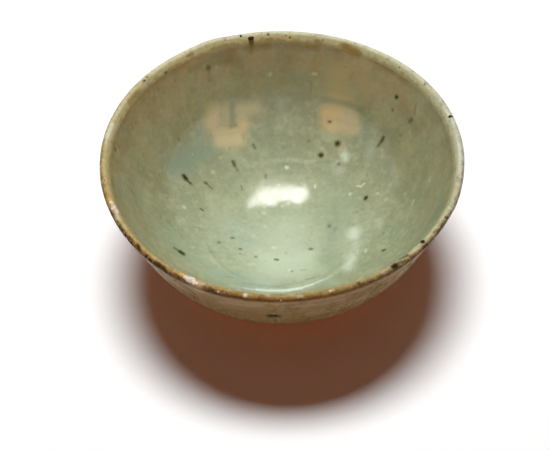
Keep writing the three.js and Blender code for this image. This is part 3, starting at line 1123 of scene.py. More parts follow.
# Most of these are the tan parts of the two painted reflections on the far wall.
sandMarks = [
    at(x=229.5, y=139.5, long=17, turn=-3, wide=7, strength=0.95),
    at(x=227, y=131, long=18, turn=-6, wide=5.5, strength=0.8),
    at(x=213, y=117, long=12, turn=95, wide=7, strength=0.8),
    at(x=246, y=109, long=15, turn=-6, wide=6, strength=0.7),
    at(x=242, y=117.5, long=12, turn=88, wide=6, strength=0.7), at(x=255, y=106.5, wide=2.6, strength=0.6),
    at(x=226, y=115, long=16, turn=92, wide=5, strength=0.6),
    at(x=353, y=120, long=16, turn=80, wide=6, strength=0.6),
    at(x=341, y=128, long=14, turn=5, wide=7, strength=0.5), at(x=350.6, y=117.8, wide=2.4, strength=0.7),
    at(x=344, y=118, long=14, turn=90, wide=5, strength=0.65),
    at(x=340, y=140, long=8, turn=80, wide=6, strength=0.25),
    at(x=338, y=86, long=22, turn=88, wide=11, strength=0.9),
    at(x=402, y=158, long=22, turn=92, wide=8, strength=0.22),
    at(x=368, y=76, long=16, turn=60, wide=7, strength=0.3),
    at(x=185, y=96, long=30, turn=-40, wide=9, strength=0.15),
]
shadeMarks = [
    at(x=232.2, y=115, long=16, turn=93, wide=2.6, strength=0.4),
    at(x=233, y=125.8, long=5, turn=-14, wide=2, strength=0.6),
    at(x=226, y=121, long=12, turn=70, wide=3, strength=0.18),
    at(x=336, y=101.5, long=24, turn=12, wide=2.6, strength=0.45),
    at(x=356, y=108, long=16, turn=30, wide=2.6, strength=0.45),
    at(x=300, y=97, long=40, turn=4, wide=3, strength=0.2),
    at(x=243, y=136.6, long=5, turn=80, wide=1.2, strength=0.3),
]
# painted sheen: a bluish, brighter band of reflection along the front rim inside, and faintly on the left
# wall
paleSheenMarks = [
    at(x=196, y=257, long=60, turn=36, wide=11, strength=0.22),
    at(x=240, y=279, long=50, turn=12, wide=8, strength=0.52),
    at(x=300, y=284, long=60, turn=-8, wide=5, strength=0.3),
    at(x=240, y=231, long=24, turn=30, wide=8, strength=0.25),
    at(x=150, y=212, long=50, turn=62, wide=8, strength=0.15),
    at(x=165, y=165, long=30, turn=70, wide=9, strength=0.12),
]
earthMarks = [
    at(x=220, y=60, long=20, turn=-20, wide=6, strength=0.45),
    at(x=282, y=47, long=70, wide=3, strength=0.4), at(x=200, y=64, long=24, turn=-30, wide=3, strength=0.4),
    at(x=390, y=71, long=40, turn=35, wide=2.6, strength=0.3),
    at(x=412, y=120, long=24, turn=60, wide=6, strength=0.25),
    at(x=113, y=160, long=50, turn=90, wide=2.4, strength=0.25),
]
goldMarks = [
    at(x=350, y=49, long=13, turn=28, wide=3.4, strength=0.85),
    at(x=357, y=53, long=6, turn=40, wide=2.4, strength=0.7),
    at(x=250.8, y=47, long=12, turn=95, wide=2, strength=0.7),
    at(x=134, y=97, long=12, turn=-45, wide=3, strength=0.6),
    at(x=190, y=54.6, long=4, turn=-20, wide=1.6, strength=0.6),
    at(x=217, y=54.6, long=7, turn=-15, wide=2.4, strength=0.5),
    at(x=318, y=42, long=5, turn=15, wide=1.8, strength=0.5),
]
blueMarks = [
    at(x=190, y=158, long=24, turn=150, wide=12, strength=0.8),
    at(x=210, y=150, long=10, wide=9, strength=0.35),
    at(x=431, y=222, long=24, turn=122, wide=10, strength=0.95),
    at(x=335, y=180, long=12, turn=20, wide=9, strength=0.35),
    at(x=332, y=232, long=46, turn=98, wide=9, strength=0.42),
    at(x=400, y=175, long=24, turn=80, wide=9, strength=0.25),
    at(x=170, y=240, long=22, turn=50, wide=9, strength=0.25),
    at(x=225, y=276, long=26, turn=16, wide=8, strength=0.3),
    at(x=338, y=201, long=12, wide=10, strength=0.25),
    at(x=340, y=276, long=20, turn=-20, wide=6, strength=0.2),
    at(x=262, y=148, long=40, wide=9, strength=0.2),
]
# painted light and reflection: the near part of the well paler and brighter
wellLightMarks = [
    at(x=283, y=265, long=18, wide=19, strength=0.75),
    at(x=284, y=236, long=14, turn=90, wide=17, strength=0.42),
    at(x=262, y=212, long=10, wide=8, strength=0.2),
]
whiteMarks = [
    at(x=345, y=157, long=3, turn=90, wide=3.4, strength=0.75),
    at(x=354, y=233.5, long=2, turn=100, wide=5.2, strength=0.8),
    at(x=356, y=246, long=8, turn=95, wide=3, strength=0.4),
    at(x=349.6, y=262, long=12, turn=100, wide=4.6, strength=0.62),
    at(x=281, y=112, long=26, turn=93, wide=4, strength=0.16),
    at(x=263, y=120, long=22, turn=95, wide=3.4, strength=0.1),
    at(x=372, y=150, long=12, turn=95, wide=5, strength=0.16),
    at(x=338, y=168, long=8, turn=60, wide=4, strength=0.2),
]
# a painted highlight: a thin bright arc along the near edge of the well
arcHighlightMarks = [
    at(x=238, y=286.8, long=12, turn=12, wide=1.1, strength=0.12),
    at(x=251, y=289, long=12, turn=8, wide=1.4, strength=0.4),
    at(x=264, y=290.2, long=14, turn=5, wide=1.7, strength=0.7),
    at(x=279, y=290.5, long=18, wide=1.8, strength=0.75),
    at(x=294, y=289.2, long=14, turn=-9, wide=1.7, strength=0.85),
    at(x=307, y=286, long=12, turn=-17, wide=1.2, strength=0.7),
    at(x=318, y=281.8, long=10, turn=-22, wide=1, strength=0.45),
    at(x=328, y=277.4, long=10, turn=-29, wide=1.2, strength=0.2),
    at(x=340, y=268.6, long=12, turn=-38, wide=2.4, strength=0.15),
]
poolShadeMarks = [
    at(x=252, y=284, long=16, turn=7, wide=1.6, strength=0.22),
    at(x=272, y=285.8, long=24, turn=2, wide=1.9, strength=0.28),
    at(x=294, y=283.6, long=20, turn=-10, wide=1.8, strength=0.25),
    at(x=312, y=278.4, long=16, turn=-22, wide=1.5, strength=0.2),
]


def paintCeladon():
    look, tree = celadonLook, celadon.node_tree
    vector = objectVector(tree)
    place = apart(tree, vector)
    radius = vectors(tree, "LENGTH", together(tree, X=place["X"], Y=place["Y"]))
    drift = useGroup(tree, clouds, {"Vector": vector, "Size": 12, "Seed": 2})["Value"]
    level = wandering(tree, place["Z"], drift, look["driftDepth"] * mm)
    wall = colourRamp(tree, evenly(tree, level, look["wallHeights"]), look["wall"], "LINEAR")
    wellTop = bowl["wellRadius"] * mm
    well = colourRamp(tree, maths(tree, "DIVIDE", radius, wellTop), look["well"])
    edge = fade(tree, radius, *[wellTop * share for share in look["wellEdge"]])
    colour = blendColours(tree, edge, well, wall)

    # the broad change from side to side: from far to near it is painted shade and painted light from the
    # lamp behind, and from left to right the tint changes
    for side in celadonSides:
        first, last = [look[name] for name in side["tones"]]
        tone = blendColours(tree, fadeAlong(tree, place[side["axis"]], side["reach"]), first, last)
        colour = blendColours(tree, fadeAlong(tree, place["Z"], side["heights"]), colour, tone, "MULTIPLY")
    for corner in celadonCorners:
        high = fadeAlong(tree, place["Z"], corner["heights"])
        high = maths(tree, "MULTIPLY", fadeAlong(tree, place[corner["axis"]], corner["reach"]), high)
        colour = blendColours(tree, high, colour, look[corner["tone"]], "MULTIPLY")
    # painted reflection: tan on the far upper wall
    far = fadeAlong(tree, place["Y"], farReflectedTan["reach"])
    far = maths(tree, "MULTIPLY", far, fadeAlong(tree, place["Z"], farReflectedTan["heights"]))
    far = maths(tree, "MULTIPLY", far, fadeAlong(tree, place["Z"], farReflectedTan["top"]))
    colour = maskedBlend(tree, far, look["farReflectedTanStrength"], colour, look["farReflectedTan"])
    edge = fadeAlong(tree, maths(tree, "ADD", place["X"], place["Y"]), edgeTan["reach"])
    edge = maths(tree, "MULTIPLY", edge, fadeAlong(tree, place["Z"], edgeTan["heights"]))
    colour = maskedBlend(tree, edge, look["edgeTanStrength"], colour, look["edgeTan"])

    # clouds in the glaze, runs down the upper wall and a fine mottle
    colour = layered(tree, clouds, vector, celadonClouds, colour, look, softness=0.1)
    high = fadeAlong(tree, place["Z"], look["runHeights"])
    colour = layered(tree, runs, vector, celadonRuns, colour, look, within=high,
                     length=30, cover=0.45, softness=0.16)
    grain = softNoise(tree, vector, look["grainSize"], detail=3, seed=31)
    grain = fade(tree, grain, *look["grainSpan"])
    grain = blendColours(tree, grain, look["darkGrain"], look["paleGrain"])
    colour = blendColours(tree, 1, colour, grain, "MULTIPLY")

    # the patches of the photograph, from the broad and soft to the small and crisp
    soft = jittered(tree, vector, depth=2.2, size=8, seed=1)
    ragged = jittered(tree, vector, depth=1.7, size=3.5, seed=2)
    fine = jittered(tree, vector, depth=0.4, size=0.9, seed=3)
    for marks, where, softness, name in (
        (wellLightMarks, soft, 1, "paleWellLight"),
        (paleSheenMarks, soft, 1, "paleSheen"),
        (blueMarks, soft, 1, "blue"),
        (earthMarks, soft, 1, "earth"),
        (sandMarks, ragged, 0.85, "sand"),
        (warmReflectionMarks, ragged, 1, "warmReflection"),
        (goldMarks, ragged, 0.8, "gold"),
        (shadeMarks, fine, 1, "shade"),
        (whiteMarks, ragged, 1, "white"),
        (poolShadeMarks, fine, 1, "shade"),
        (arcHighlightMarks, fine, 0.9, "gleam"),
    ):
        colour = marked(tree, where, marks, softness, colour, look[name])

    # specks: cream grains and iron dust everywhere, then the marks one by one. Only the strong iron
    # marks have a halo, because the renderer's memory for one material holds about thirty of them.
    colour = layered(tree, flecks, fine, celadonFlecks, colour, look, softness=0.7)
    faint = [spot for spot in ironMarks if spot.get("strength", 1) < look["faintIron"]]
    strong = [spot for spot in ironMarks if spot not in faint]
    for marks, softness, name in ((creamMarks, 0.8, "speck"), (oliveMarks, 0.8, "olive")):
        colour = marked(tree, fine, marks, softness, colour, look[name])
    colour = marked(tree, fine, faint, look["ironSoftness"], colour, look["iron"])
    sums = markSums(tree, fine, strong, look["ironSoftness"])
    iron = sums["Mask"]
    colour = maskedBlend(tree, sums["Halo"], look["haloStrength"], colour, look["ironHalo"])
    colour = blendColours(tree, iron, colour, look["iron"])

    values = {"Vector": vector, "Ripple": look["ripple"], "Pit Depth": look["pits"]}
    height = useGroup(tree, glazeSkin, values)["Height"]
    roughness = fade(tree, drift, *look["roughnessSpan"], *look["roughness"])
    roughness = maths(tree, "MULTIPLY_ADD", iron, look["ironRoughness"], roughness)
    gloss = fade(tree, iron, 0, 1, look["gloss"], look["ironGloss"])
    finishSurface(celadon, colour, roughness, height, Specular_IOR_Level=gloss)


paintCeladon()
print("stage: celadon painted")


# The olive-brown glaze outside and under the foot. The ramp goes from the glaze line to the lip.

oliveLook = {
    "ramp": [(0.0, (0.20, 0.105, 0.04)), (0.2, (0.27, 0.15, 0.05)), (0.6, (0.31, 0.172, 0.06)),
             (0.86, (0.37, 0.225, 0.095)), (0.95, (0.47, 0.295, 0.15)), (1.0, (0.54, 0.31, 0.15))],
    "green": (0.28, 0.205, 0.08),
    "pink": (0.68, 0.49, 0.32),
    "rust": (0.25, 0.10, 0.03),
    "darkEdge": (0.14, 0.06, 0.018),
    # sideLight: painted light, the sides of the outer wall lighter higher up
    "sideLight": (1.2, 1.3, 1.2),
    "speck": (0.04, 0.028, 0.015),
    "cream": (0.55, 0.46, 0.30),
    "rampHeights": (9, 60),
    "driftDepth": 7,
    "sideLightReach": (38, 58),
    "sideLightHeights": (40, 52),
    "frontReach": (-5, -40),
    "edgeHeights": (58, 59.2),
    "edgeStrength": 0.15,
    "roughness": (0.24, 0.4),
    "roughnessSpan": (0.35, 0.65),
    "gloss": 0.3,
}
oliveClouds = [
    at(colour="green", size=14, cover=0.45, seed=31, strength=0.4),
    at(colour="pink", size=9, cover=0.38, seed=32, strength=0.12),
    at(colour="rust", size=6, cover=0.36, seed=33, strength=0.07),
]
oliveRuns = [
    at(colour="pink", width=3.4, cover=0.38, seed=34, strength=0.12),
    at(colour="rust", width=2.6, cover=0.38, seed=35, strength=0.07),
]
oliveFlecks = [
    at(colour="cream", spacing=3.4, size=0.25, softness=0.6, strength=0.3),
    at(colour="speck", spacing=2.6, size=0.2, softness=0.6, strength=0.35),
    at(colour="speck", spacing=9, size=0.5, softness=0.5, strength=0.5),
]
oliveSkin = {"Ripple": 0.008, "Ripple Size": 6, "Grain": 0.001, "Pit Depth": 0.02, "Pit Share": 0.6}
# pale pink bands below the lip: partly the glaze's own pink, partly painted reflection and light at the
# sides
pinkAndSheenMarks = [
    at(x=193.4, y=286, long=12, turn=45, wide=3.4, strength=0.62),
    at(x=150, y=263, long=40, turn=46, wide=3.2, strength=0.7),
    at(x=178, y=285, long=24, turn=35, wide=3, strength=0.3), at(x=415, y=261, long=34, turn=-42, wide=4),
    at(x=374, y=291, long=50, turn=-26, wide=4.5, strength=0.3),
    at(x=332, y=308, long=40, turn=-14, wide=4.5, strength=0.22),
    at(x=240, y=303.6, long=40, turn=6, wide=1.8, strength=0.3),
    at(x=318, y=302.6, long=50, turn=-8, wide=1.8, strength=0.35),
]
outerMarks = [
    at(x=273.4, y=315.6, long=4, wide=3.2), at(x=277.6, y=316.4, long=3, wide=2.2, strength=0.7),
    at(x=331, y=309.5, wide=1.5, strength=0.4),
]


def paintOlive():
    look, tree = oliveLook, olive.node_tree
    vector = objectVector(tree)
    place = apart(tree, vector)
    streak = useGroup(tree, runs, {"Vector": vector, "Width": 5, "Length": 22, "Seed": 5})["Value"]
    level = wandering(tree, place["Z"], streak, look["driftDepth"] * mm)
    colour = colourRamp(tree, evenly(tree, level, look["rampHeights"]), look["ramp"])
    colour = layered(tree, clouds, vector, oliveClouds, colour, look, softness=0.22)
    colour = layered(tree, runs, vector, oliveRuns, colour, look, length=20, softness=0.12)
    # painted light on the sides of the outer wall
    side = fadeAlong(tree, maths(tree, "ABSOLUTE", place["X"]), look["sideLightReach"])
    side = maths(tree, "MULTIPLY", side, fadeAlong(tree, place["Z"], look["sideLightHeights"]))
    colour = blendColours(tree, side, colour, look["sideLight"], "MULTIPLY")
    under = fadeAlong(tree, place["Y"], look["frontReach"])
    under = maths(tree, "MULTIPLY", under, fadeAlong(tree, place["Z"], look["edgeHeights"]))
    colour = maskedBlend(tree, under, look["edgeStrength"], colour, look["darkEdge"])
    fine = jittered(tree, vector, depth=0.3, size=0.9, seed=3)
    colour = layered(tree, flecks, fine, oliveFlecks, colour, look, share=0.4)
    soft = jittered(tree, vector, depth=0.8, size=2.5, seed=2)
    colour = marked(tree, soft, pinkAndSheenMarks, 1, colour, look["pink"])
    colour = marked(tree, fine, outerMarks, 0.5, colour, look["speck"])
    height = useGroup(tree, glazeSkin, {"Vector": vector, **oliveSkin})["Height"]
    roughness = fade(tree, streak, *look["roughnessSpan"], *look["roughness"])
    finishSurface(olive, colour, roughness, height, Specular_IOR_Level=look["gloss"])


paintOlive()
print("stage: olive glaze painted")


# The lip, where the glaze runs thin and the iron burns through. The attribute across goes from the
# outer edge of the band (0) over the top to the inner edge (1). Colours are given round the rim,
# from the far side by the left, the front and the right.

lipColours = {
    "top": [
        (0.64, 0.64, 0.42), (0.70, 0.64, 0.38), (0.54, 0.46, 0.19), (0.48, 0.33, 0.11),
        (0.34, 0.195, 0.045), (0.48, 0.41, 0.18), (0.60, 0.64, 0.50), (0.64, 0.64, 0.42),
    ],
    "inner": [
        (0.97, 0.79, 0.42), (0.84, 0.70, 0.39), (0.70, 0.60, 0.32), (0.54, 0.42, 0.17),
        (0.46, 0.33, 0.12), (0.58, 0.55, 0.28), (0.78, 0.77, 0.54), (0.80, 0.73, 0.42),
    ],
    "outer": [
        (0.48, 0.42, 0.22), (0.48, 0.43, 0.21), (0.38, 0.30, 0.10), (0.30, 0.15, 0.035),
        (0.26, 0.105, 0.018), (0.29, 0.155, 0.045), (0.54, 0.51, 0.38), (0.52, 0.48, 0.30),
    ],
    "edge": [
        (0.54, 0.37, 0.14), (0.50, 0.37, 0.15), (0.40, 0.32, 0.13), (0.38, 0.33, 0.15),
        (0.38, 0.33, 0.16), (0.40, 0.37, 0.19), (0.42, 0.40, 0.25), (0.50, 0.42, 0.22),
    ],
    "under": (0.54, 0.31, 0.15),
    "crust": [0.05, 0.2, 0.45, 1.0, 0.12, 0.6, 0.25, 0.1],
    "rust": (0.20, 0.075, 0.02),
    "gold": (0.42, 0.235, 0.05),
    "glow": (0.86, 0.55, 0.20),
    "dark": (0.022, 0.013, 0.005),
    "moss": (0.20, 0.20, 0.07),
    "cream": (0.80, 0.76, 0.58),
    "pink": (0.68, 0.47, 0.33),
    "start": 0.46,
    "wander": 0.08,
    "raggedness": 0.44,
    "innerAcross": (0.66, 0.84),
    "edgeAcross": (0.80, 1.0),
    "outerAcross": (0.46, 0.34),
    "underAcross": (0.24, 0.06),
    "frontReach": (-5, -45),
    "crustIn": (0.0, 0.14),
    "crustOut": (0.62, 0.44),
    "rustStrength": 0.7,
    "roughness": (0.2, 0.45),
    "roughnessSpan": (0.3, 0.7),
    "glossAcross": (0.5, 0.8),
    "gloss": (0.08, 0.3),
}
lipClouds = [
    at(colour="cream", size=2.6, cover=0.42, seed=41, strength=0.5),
    at(colour="gold", size=4, cover=0.4, seed=42, strength=0.4),
    at(colour="pink", size=3.2, cover=0.36, seed=43, strength=0.35),
    at(colour="moss", size=2.4, cover=0.36, seed=44, strength=0.4),
    at(colour="rust", size=1.5, cover=0.34, seed=48, strength=0.35),
]
lipFlecks = [
    at(colour="dark", spacing=2.2, size=0.24, share=0.4, softness=0.5, strength=0.65),
    at(colour="dark", spacing=4.5, size=0.5, share=0.35, softness=0.4, strength=0.8),
    at(colour="cream", spacing=2.4, size=0.3, share=0.45, softness=0.5, strength=0.8),
]
lipCrust = {"Size": 1.5, "Cover": 0.5, "Softness": 0.05, "Seed": 47}
lipSkin = {"Ripple": 0.06, "Ripple Size": 1.4, "Grain": 0.012, "Pit Depth": 0.05, "Pit Share": 0.7}
lipGoldMarks = goldMarks + [
    at(x=377, y=272, long=16, turn=-24, wide=1.6, strength=0.8),
    at(x=104, y=182, long=20, turn=75, wide=1.6, strength=0.3),
    at(x=107.6, y=196, long=8, turn=70, wide=1.6, strength=0.6),
    at(x=296, y=296.4, long=10, turn=-4, wide=1.2, strength=0.5),
    at(x=418, y=250, long=12, turn=-42, wide=1.4, strength=0.2),
]
lipGlowMarks = [
    at(x=177, y=269, long=12, turn=35, wide=1.8, strength=0.85),
    at(x=184.6, y=275, long=4, turn=35, wide=2.2, strength=0.7),
    at(x=110.6, y=200.4, long=4, turn=60, wide=1.6, strength=0.5),
    at(x=197.6, y=283.6, long=4, turn=25, wide=2, strength=0.4),
]
lipPinkMarks = [
    at(x=195, y=284, long=8, turn=28, wide=3, strength=0.7),
    at(x=282, y=296, long=30, wide=0.9, strength=0.2),
    at(x=117, y=212, long=6, turn=58, wide=2.2, strength=0.6),
]
lipDarkMarks = [
    at(x=165.9, y=72.9, wide=1.6, strength=0.6), at(x=147, y=77, wide=1.2, strength=0.7),
    at(x=143.5, y=81, wide=1.1, strength=0.7),
    at(x=425.1, y=246.5, long=4, turn=-40, wide=1.5, strength=0.75),
    at(x=403, y=257.4, long=9, turn=-28, wide=1.4, strength=0.75),
    at(x=394.6, y=265.7, long=3, turn=-25, wide=2),
    at(x=399, y=262.6, long=5, turn=-28, wide=1.2, strength=0.6),
    at(x=458, y=178, long=6, turn=105, wide=1, strength=0.25), at(x=358.6, y=282.8, wide=1.4, strength=0.7),
    at(x=440, y=229, long=12, turn=-62, wide=1.1, strength=0.6),
    at(x=426, y=83, long=3, turn=40, wide=0.9, strength=0.35),
    at(x=438, y=98.5, long=2, turn=50, wide=0.9, strength=0.3), at(x=116, y=150, wide=1.5, strength=0.5),
    at(x=286, y=35.5, wide=0.9, strength=0.5), at(x=323, y=40, wide=0.9, strength=0.5),
]
# cream spots on the lip; those on the front lip are painted glints
lipCreamAndGlintMarks = [
    at(x=245.3, y=295, wide=1.4), at(x=262.9, y=292.5, wide=0.8, strength=0.9),
    at(x=300, y=296.4, long=3, turn=-5, wide=1.2, strength=0.35), at(x=330, y=291, wide=0.8, strength=0.8),
    at(x=268.6, y=44.6, long=2, wide=1.2, strength=0.7), at(x=198.6, y=57.6, wide=1.2, strength=0.8),
    at(x=111, y=131, long=12, turn=-65, wide=2.6, strength=0.85),
    at(x=446, y=113, long=10, turn=50, wide=1.6, strength=0.5),
    at(x=458.6, y=160, long=30, turn=88, wide=1.8, strength=0.4),
    at(x=443.6, y=123.6, long=3, turn=80, wide=1.2, strength=0.7), at(x=432, y=106, wide=1.2, strength=0.6),
    at(x=166, y=259.4, long=4, turn=38, wide=1, strength=0.6),
    at(x=414, y=251, long=8, turn=-36, wide=1.3, strength=0.3),
]


def roundRim(tree, share, values):  # a ramp round the rim whose end meets its start
    stops = [(i / len(values), value) for i, value in enumerate(values)] + [(1.0, values[0])]
    return colourRamp(tree, share, stops, "LINEAR")


def paintLip():
    look, tree = lipColours, ironLip.node_tree
    vector = objectVector(tree)
    place = apart(tree, vector)
    across = addNode(tree, "ShaderNodeAttribute", None, attribute_name="across").outputs["Fac"]
    turn = maths(tree, "ARCTAN2", place["X"], maths(tree, "MULTIPLY", place["Y"], -1))
    wander = useGroup(tree, clouds, {"Vector": vector, "Size": 9, "Seed": 40})["Value"]
    share = maths(tree, "MULTIPLY_ADD", turn, 1 / math.tau, look["start"])
    share = maths(tree, "FRACT", maths(tree, "MULTIPLY_ADD", wander, look["wander"], share))
    crust = roundRim(tree, share, [(value, value, value) for value in look["crust"]])
    ragged = useGroup(tree, clouds, {"Vector": vector, "Size": 2.2, "Seed": 45, "Detail": 5})["Value"]
    crossing = wandering(tree, across, ragged, look["raggedness"])
    colour = roundRim(tree, share, look["top"])
    colour = layered(tree, clouds, vector, lipClouds, colour, look, softness=0.09)
    for name in ("inner", "edge", "outer"):
        part = fade(tree, crossing, *look[name + "Across"])
        colour = blendColours(tree, part, colour, roundRim(tree, share, look[name]))
    under = fadeAlong(tree, place["Y"], look["frontReach"])
    under = maths(tree, "MULTIPLY", under, fade(tree, crossing, *look["underAcross"]))
    colour = blendColours(tree, under, colour, look["under"])

    # crusts and a rust line along the outer side, mostly at the front left
    side = fade(tree, crossing, *look["crustIn"])
    side = maths(tree, "MULTIPLY", side, fade(tree, crossing, *look["crustOut"]))
    side = maths(tree, "MULTIPLY", side, crust)
    gritty = useGroup(tree, clouds, {"Vector": vector, **lipCrust})["Mask"]
    colour = maskedBlend(tree, side, look["rustStrength"], colour, look["rust"])
    colour = blendColours(tree, maths(tree, "MULTIPLY", side, gritty), colour, look["dark"])
    fine = jittered(tree, vector, depth=0.35, size=1, seed=3)
    colour = layered(tree, flecks, fine, lipFlecks, colour, look)
    for marks, name, softness in (
        (lipGoldMarks, "gold", 0.8),
        (lipPinkMarks, "pink", 1),
        (lipGlowMarks, "glow", 1),
        (lipCreamAndGlintMarks, "cream", 0.8),
        (lipDarkMarks, "dark", 0.6),
    ):
        colour = marked(tree, fine, marks, softness, colour, look[name])
    height = useGroup(tree, glazeSkin, {"Vector": vector, **lipSkin})["Height"]
    roughness = fade(tree, ragged, *look["roughnessSpan"], *look["roughness"])
    gloss = fade(tree, crossing, *look["glossAcross"], *look["gloss"])
    finishSurface(ironLip, colour, roughness, height, Specular_IOR_Level=gloss)


paintLip()
print("stage: lip painted")


# Bare clay of the foot, kiln grit and iron nodules

clayColours = {
    "clay": (0.36, 0.215, 0.12),
    "toasted": (0.27, 0.125, 0.055),
    "pale": (0.50, 0.35, 0.22),
    "grog": (0.10, 0.06, 0.035),
    "toastHeights": (5.5, 10),
    "toastRise": 2,
    "toastStrength": 0.75,
    "roughness": 0.85,
    "gloss": 0.25,
}
clayPatches = {"Size": 9, "Cover": 0.5, "Softness": 0.2, "Seed": 51}
clayFlecks = [
    at(colour="grog", spacing=1.3, size=0.16, share=0.5, strength=0.8),
    at(colour="grog", spacing=3.2, size=0.4, share=0.35, strength=0.8),
    at(colour="pale", spacing=1.7, size=0.22, share=0.5, strength=0.7),
]
claySkin = {"Ripple": 0.06, "Ripple Size": 1.2, "Grain": 0.05, "Grain Size": 0.35,
            "Pit Depth": 0.12, "Pit Share": 0.8}
gritColours = {
    "stone": (0.88, 0.74, 0.57),
    "pink": (0.74, 0.49, 0.34),
    "shade": (0.50, 0.29, 0.13),
    "roughness": 0.3,
}
gritPatches = {"Size": 1.6, "Cover": 0.45, "Softness": 0.12, "Seed": 61}
gritFlecks = [at(colour="shade", spacing=0.8, size=0.16, share=0.3, strength=0.5)]
gritSkin = {"Ripple": 0.1, "Ripple Size": 0.9, "Grain": 0.02, "Grain Size": 0.25}
noduleColours = {
    "iron": (0.02, 0.012, 0.006),
    "rust": (0.09, 0.04, 0.014),
    "roughness": 0.5,
    "gloss": 0.15,
}
nodulePatches = {"Size": 0.7, "Cover": 0.35, "Softness": 0.1, "Seed": 71}
noduleSkin = {"Ripple": 0.05, "Ripple Size": 0.5, "Grain": 0.01, "Grain Size": 0.2}


def patched(tree, vector, patches, first, second):
    mask = useGroup(tree, clouds, {"Vector": vector, **patches})["Mask"]
    return mask, blendColours(tree, mask, first, second)


def paintClay():
    look, tree = clayColours, bareClay.node_tree
    vector = objectVector(tree)
    place = apart(tree, vector)
    broad, colour = patched(tree, vector, clayPatches, look["clay"], look["pale"])
    toast = maths(tree, "MULTIPLY_ADD", broad, look["toastRise"] * mm, place["Z"])
    toast = fadeAlong(tree, toast, look["toastHeights"])
    colour = maskedBlend(tree, toast, look["toastStrength"], colour, look["toasted"])
    colour = layered(tree, flecks, vector, clayFlecks, colour, look, softness=0.4)
    height = useGroup(tree, glazeSkin, {"Vector": vector, **claySkin})["Height"]
    finishSurface(bareClay, colour, look["roughness"], height, Specular_IOR_Level=look["gloss"])


def paintGrit():
    look, tree = gritColours, gritFinish.node_tree
    vector = objectVector(tree)
    colour = patched(tree, vector, gritPatches, look["stone"], look["pink"])[1]
    colour = layered(tree, flecks, vector, gritFlecks, colour, look)
    height = useGroup(tree, glazeSkin, {"Vector": vector, **gritSkin})["Height"]
    finishSurface(gritFinish, colour, look["roughness"], height)


def paintNodules():
    look, tree = noduleColours, ironFinish.node_tree
    vector = objectVector(tree)
    colour = patched(tree, vector, nodulePatches, look["iron"], look["rust"])[1]
    height = useGroup(tree, glazeSkin, {"Vector": vector, **noduleSkin})["Height"]
    finishSurface(ironFinish, colour, look["roughness"], height, Specular_IOR_Level=look["gloss"])


paintClay()
paintGrit()
paintNodules()
print("stage: clay, grit and iron painted")


# Lumps of kiln grit and iron nodules on the lip. Each is a ball that is stretched, sunk into the
# glaze and made uneven; sizes are half-lengths along the rim, across it and upwards.

gritFrontLumps = [
    at(x=190.5, y=279.4, along=2.1, across=1.25, tall=1.05, sink=0.45),
    at(x=186.4, y=277.0, along=1.2, across=0.85, tall=0.7, sink=0.3),
    at(x=194.6, y=282.8, along=1.3, across=0.95, tall=0.7, sink=0.35),
]
gritSideLumps = [
    at(x=113.8, y=207.2, along=1.7, across=1.1, tall=0.95, sink=0.4),
    at(x=111.4, y=202.6, along=1.1, across=0.8, tall=0.6, sink=0.25),
    at(x=117.0, y=211.6, along=1.1, across=0.8, tall=0.6, sink=0.25),
]
gritSurface = {"Lump Depth": 1.1, "Lump Size": 1.5, "Grain Depth": 0.25, "Grain Size": 0.5, "Rounds": 5}
ironNodules = [
    at(x=251.0, y=38.0, along=1.3, across=1.2, tall=0.7, sink=0.25),
    at(x=240.8, y=35.9, along=0.55, across=0.5, tall=0.4, sink=0.15),
    at(x=450.4, y=116.4, along=0.8, across=0.85, tall=0.5, sink=0.2),
    at(x=422.6, y=241.7, along=0.95, across=0.85, tall=0.55, sink=0.2),
    at(x=144.6, y=80.0, along=0.4, across=0.35, tall=0.3, sink=0.12),
    at(x=395.6, y=265.2, along=0.8, across=0.7, tall=0.5, sink=0.25),
]
noduleSurface = {"Lump Depth": 0.35, "Lump Size": 0.9, "Grain Depth": 0.08, "Grain Size": 0.3, "Rounds": 4}


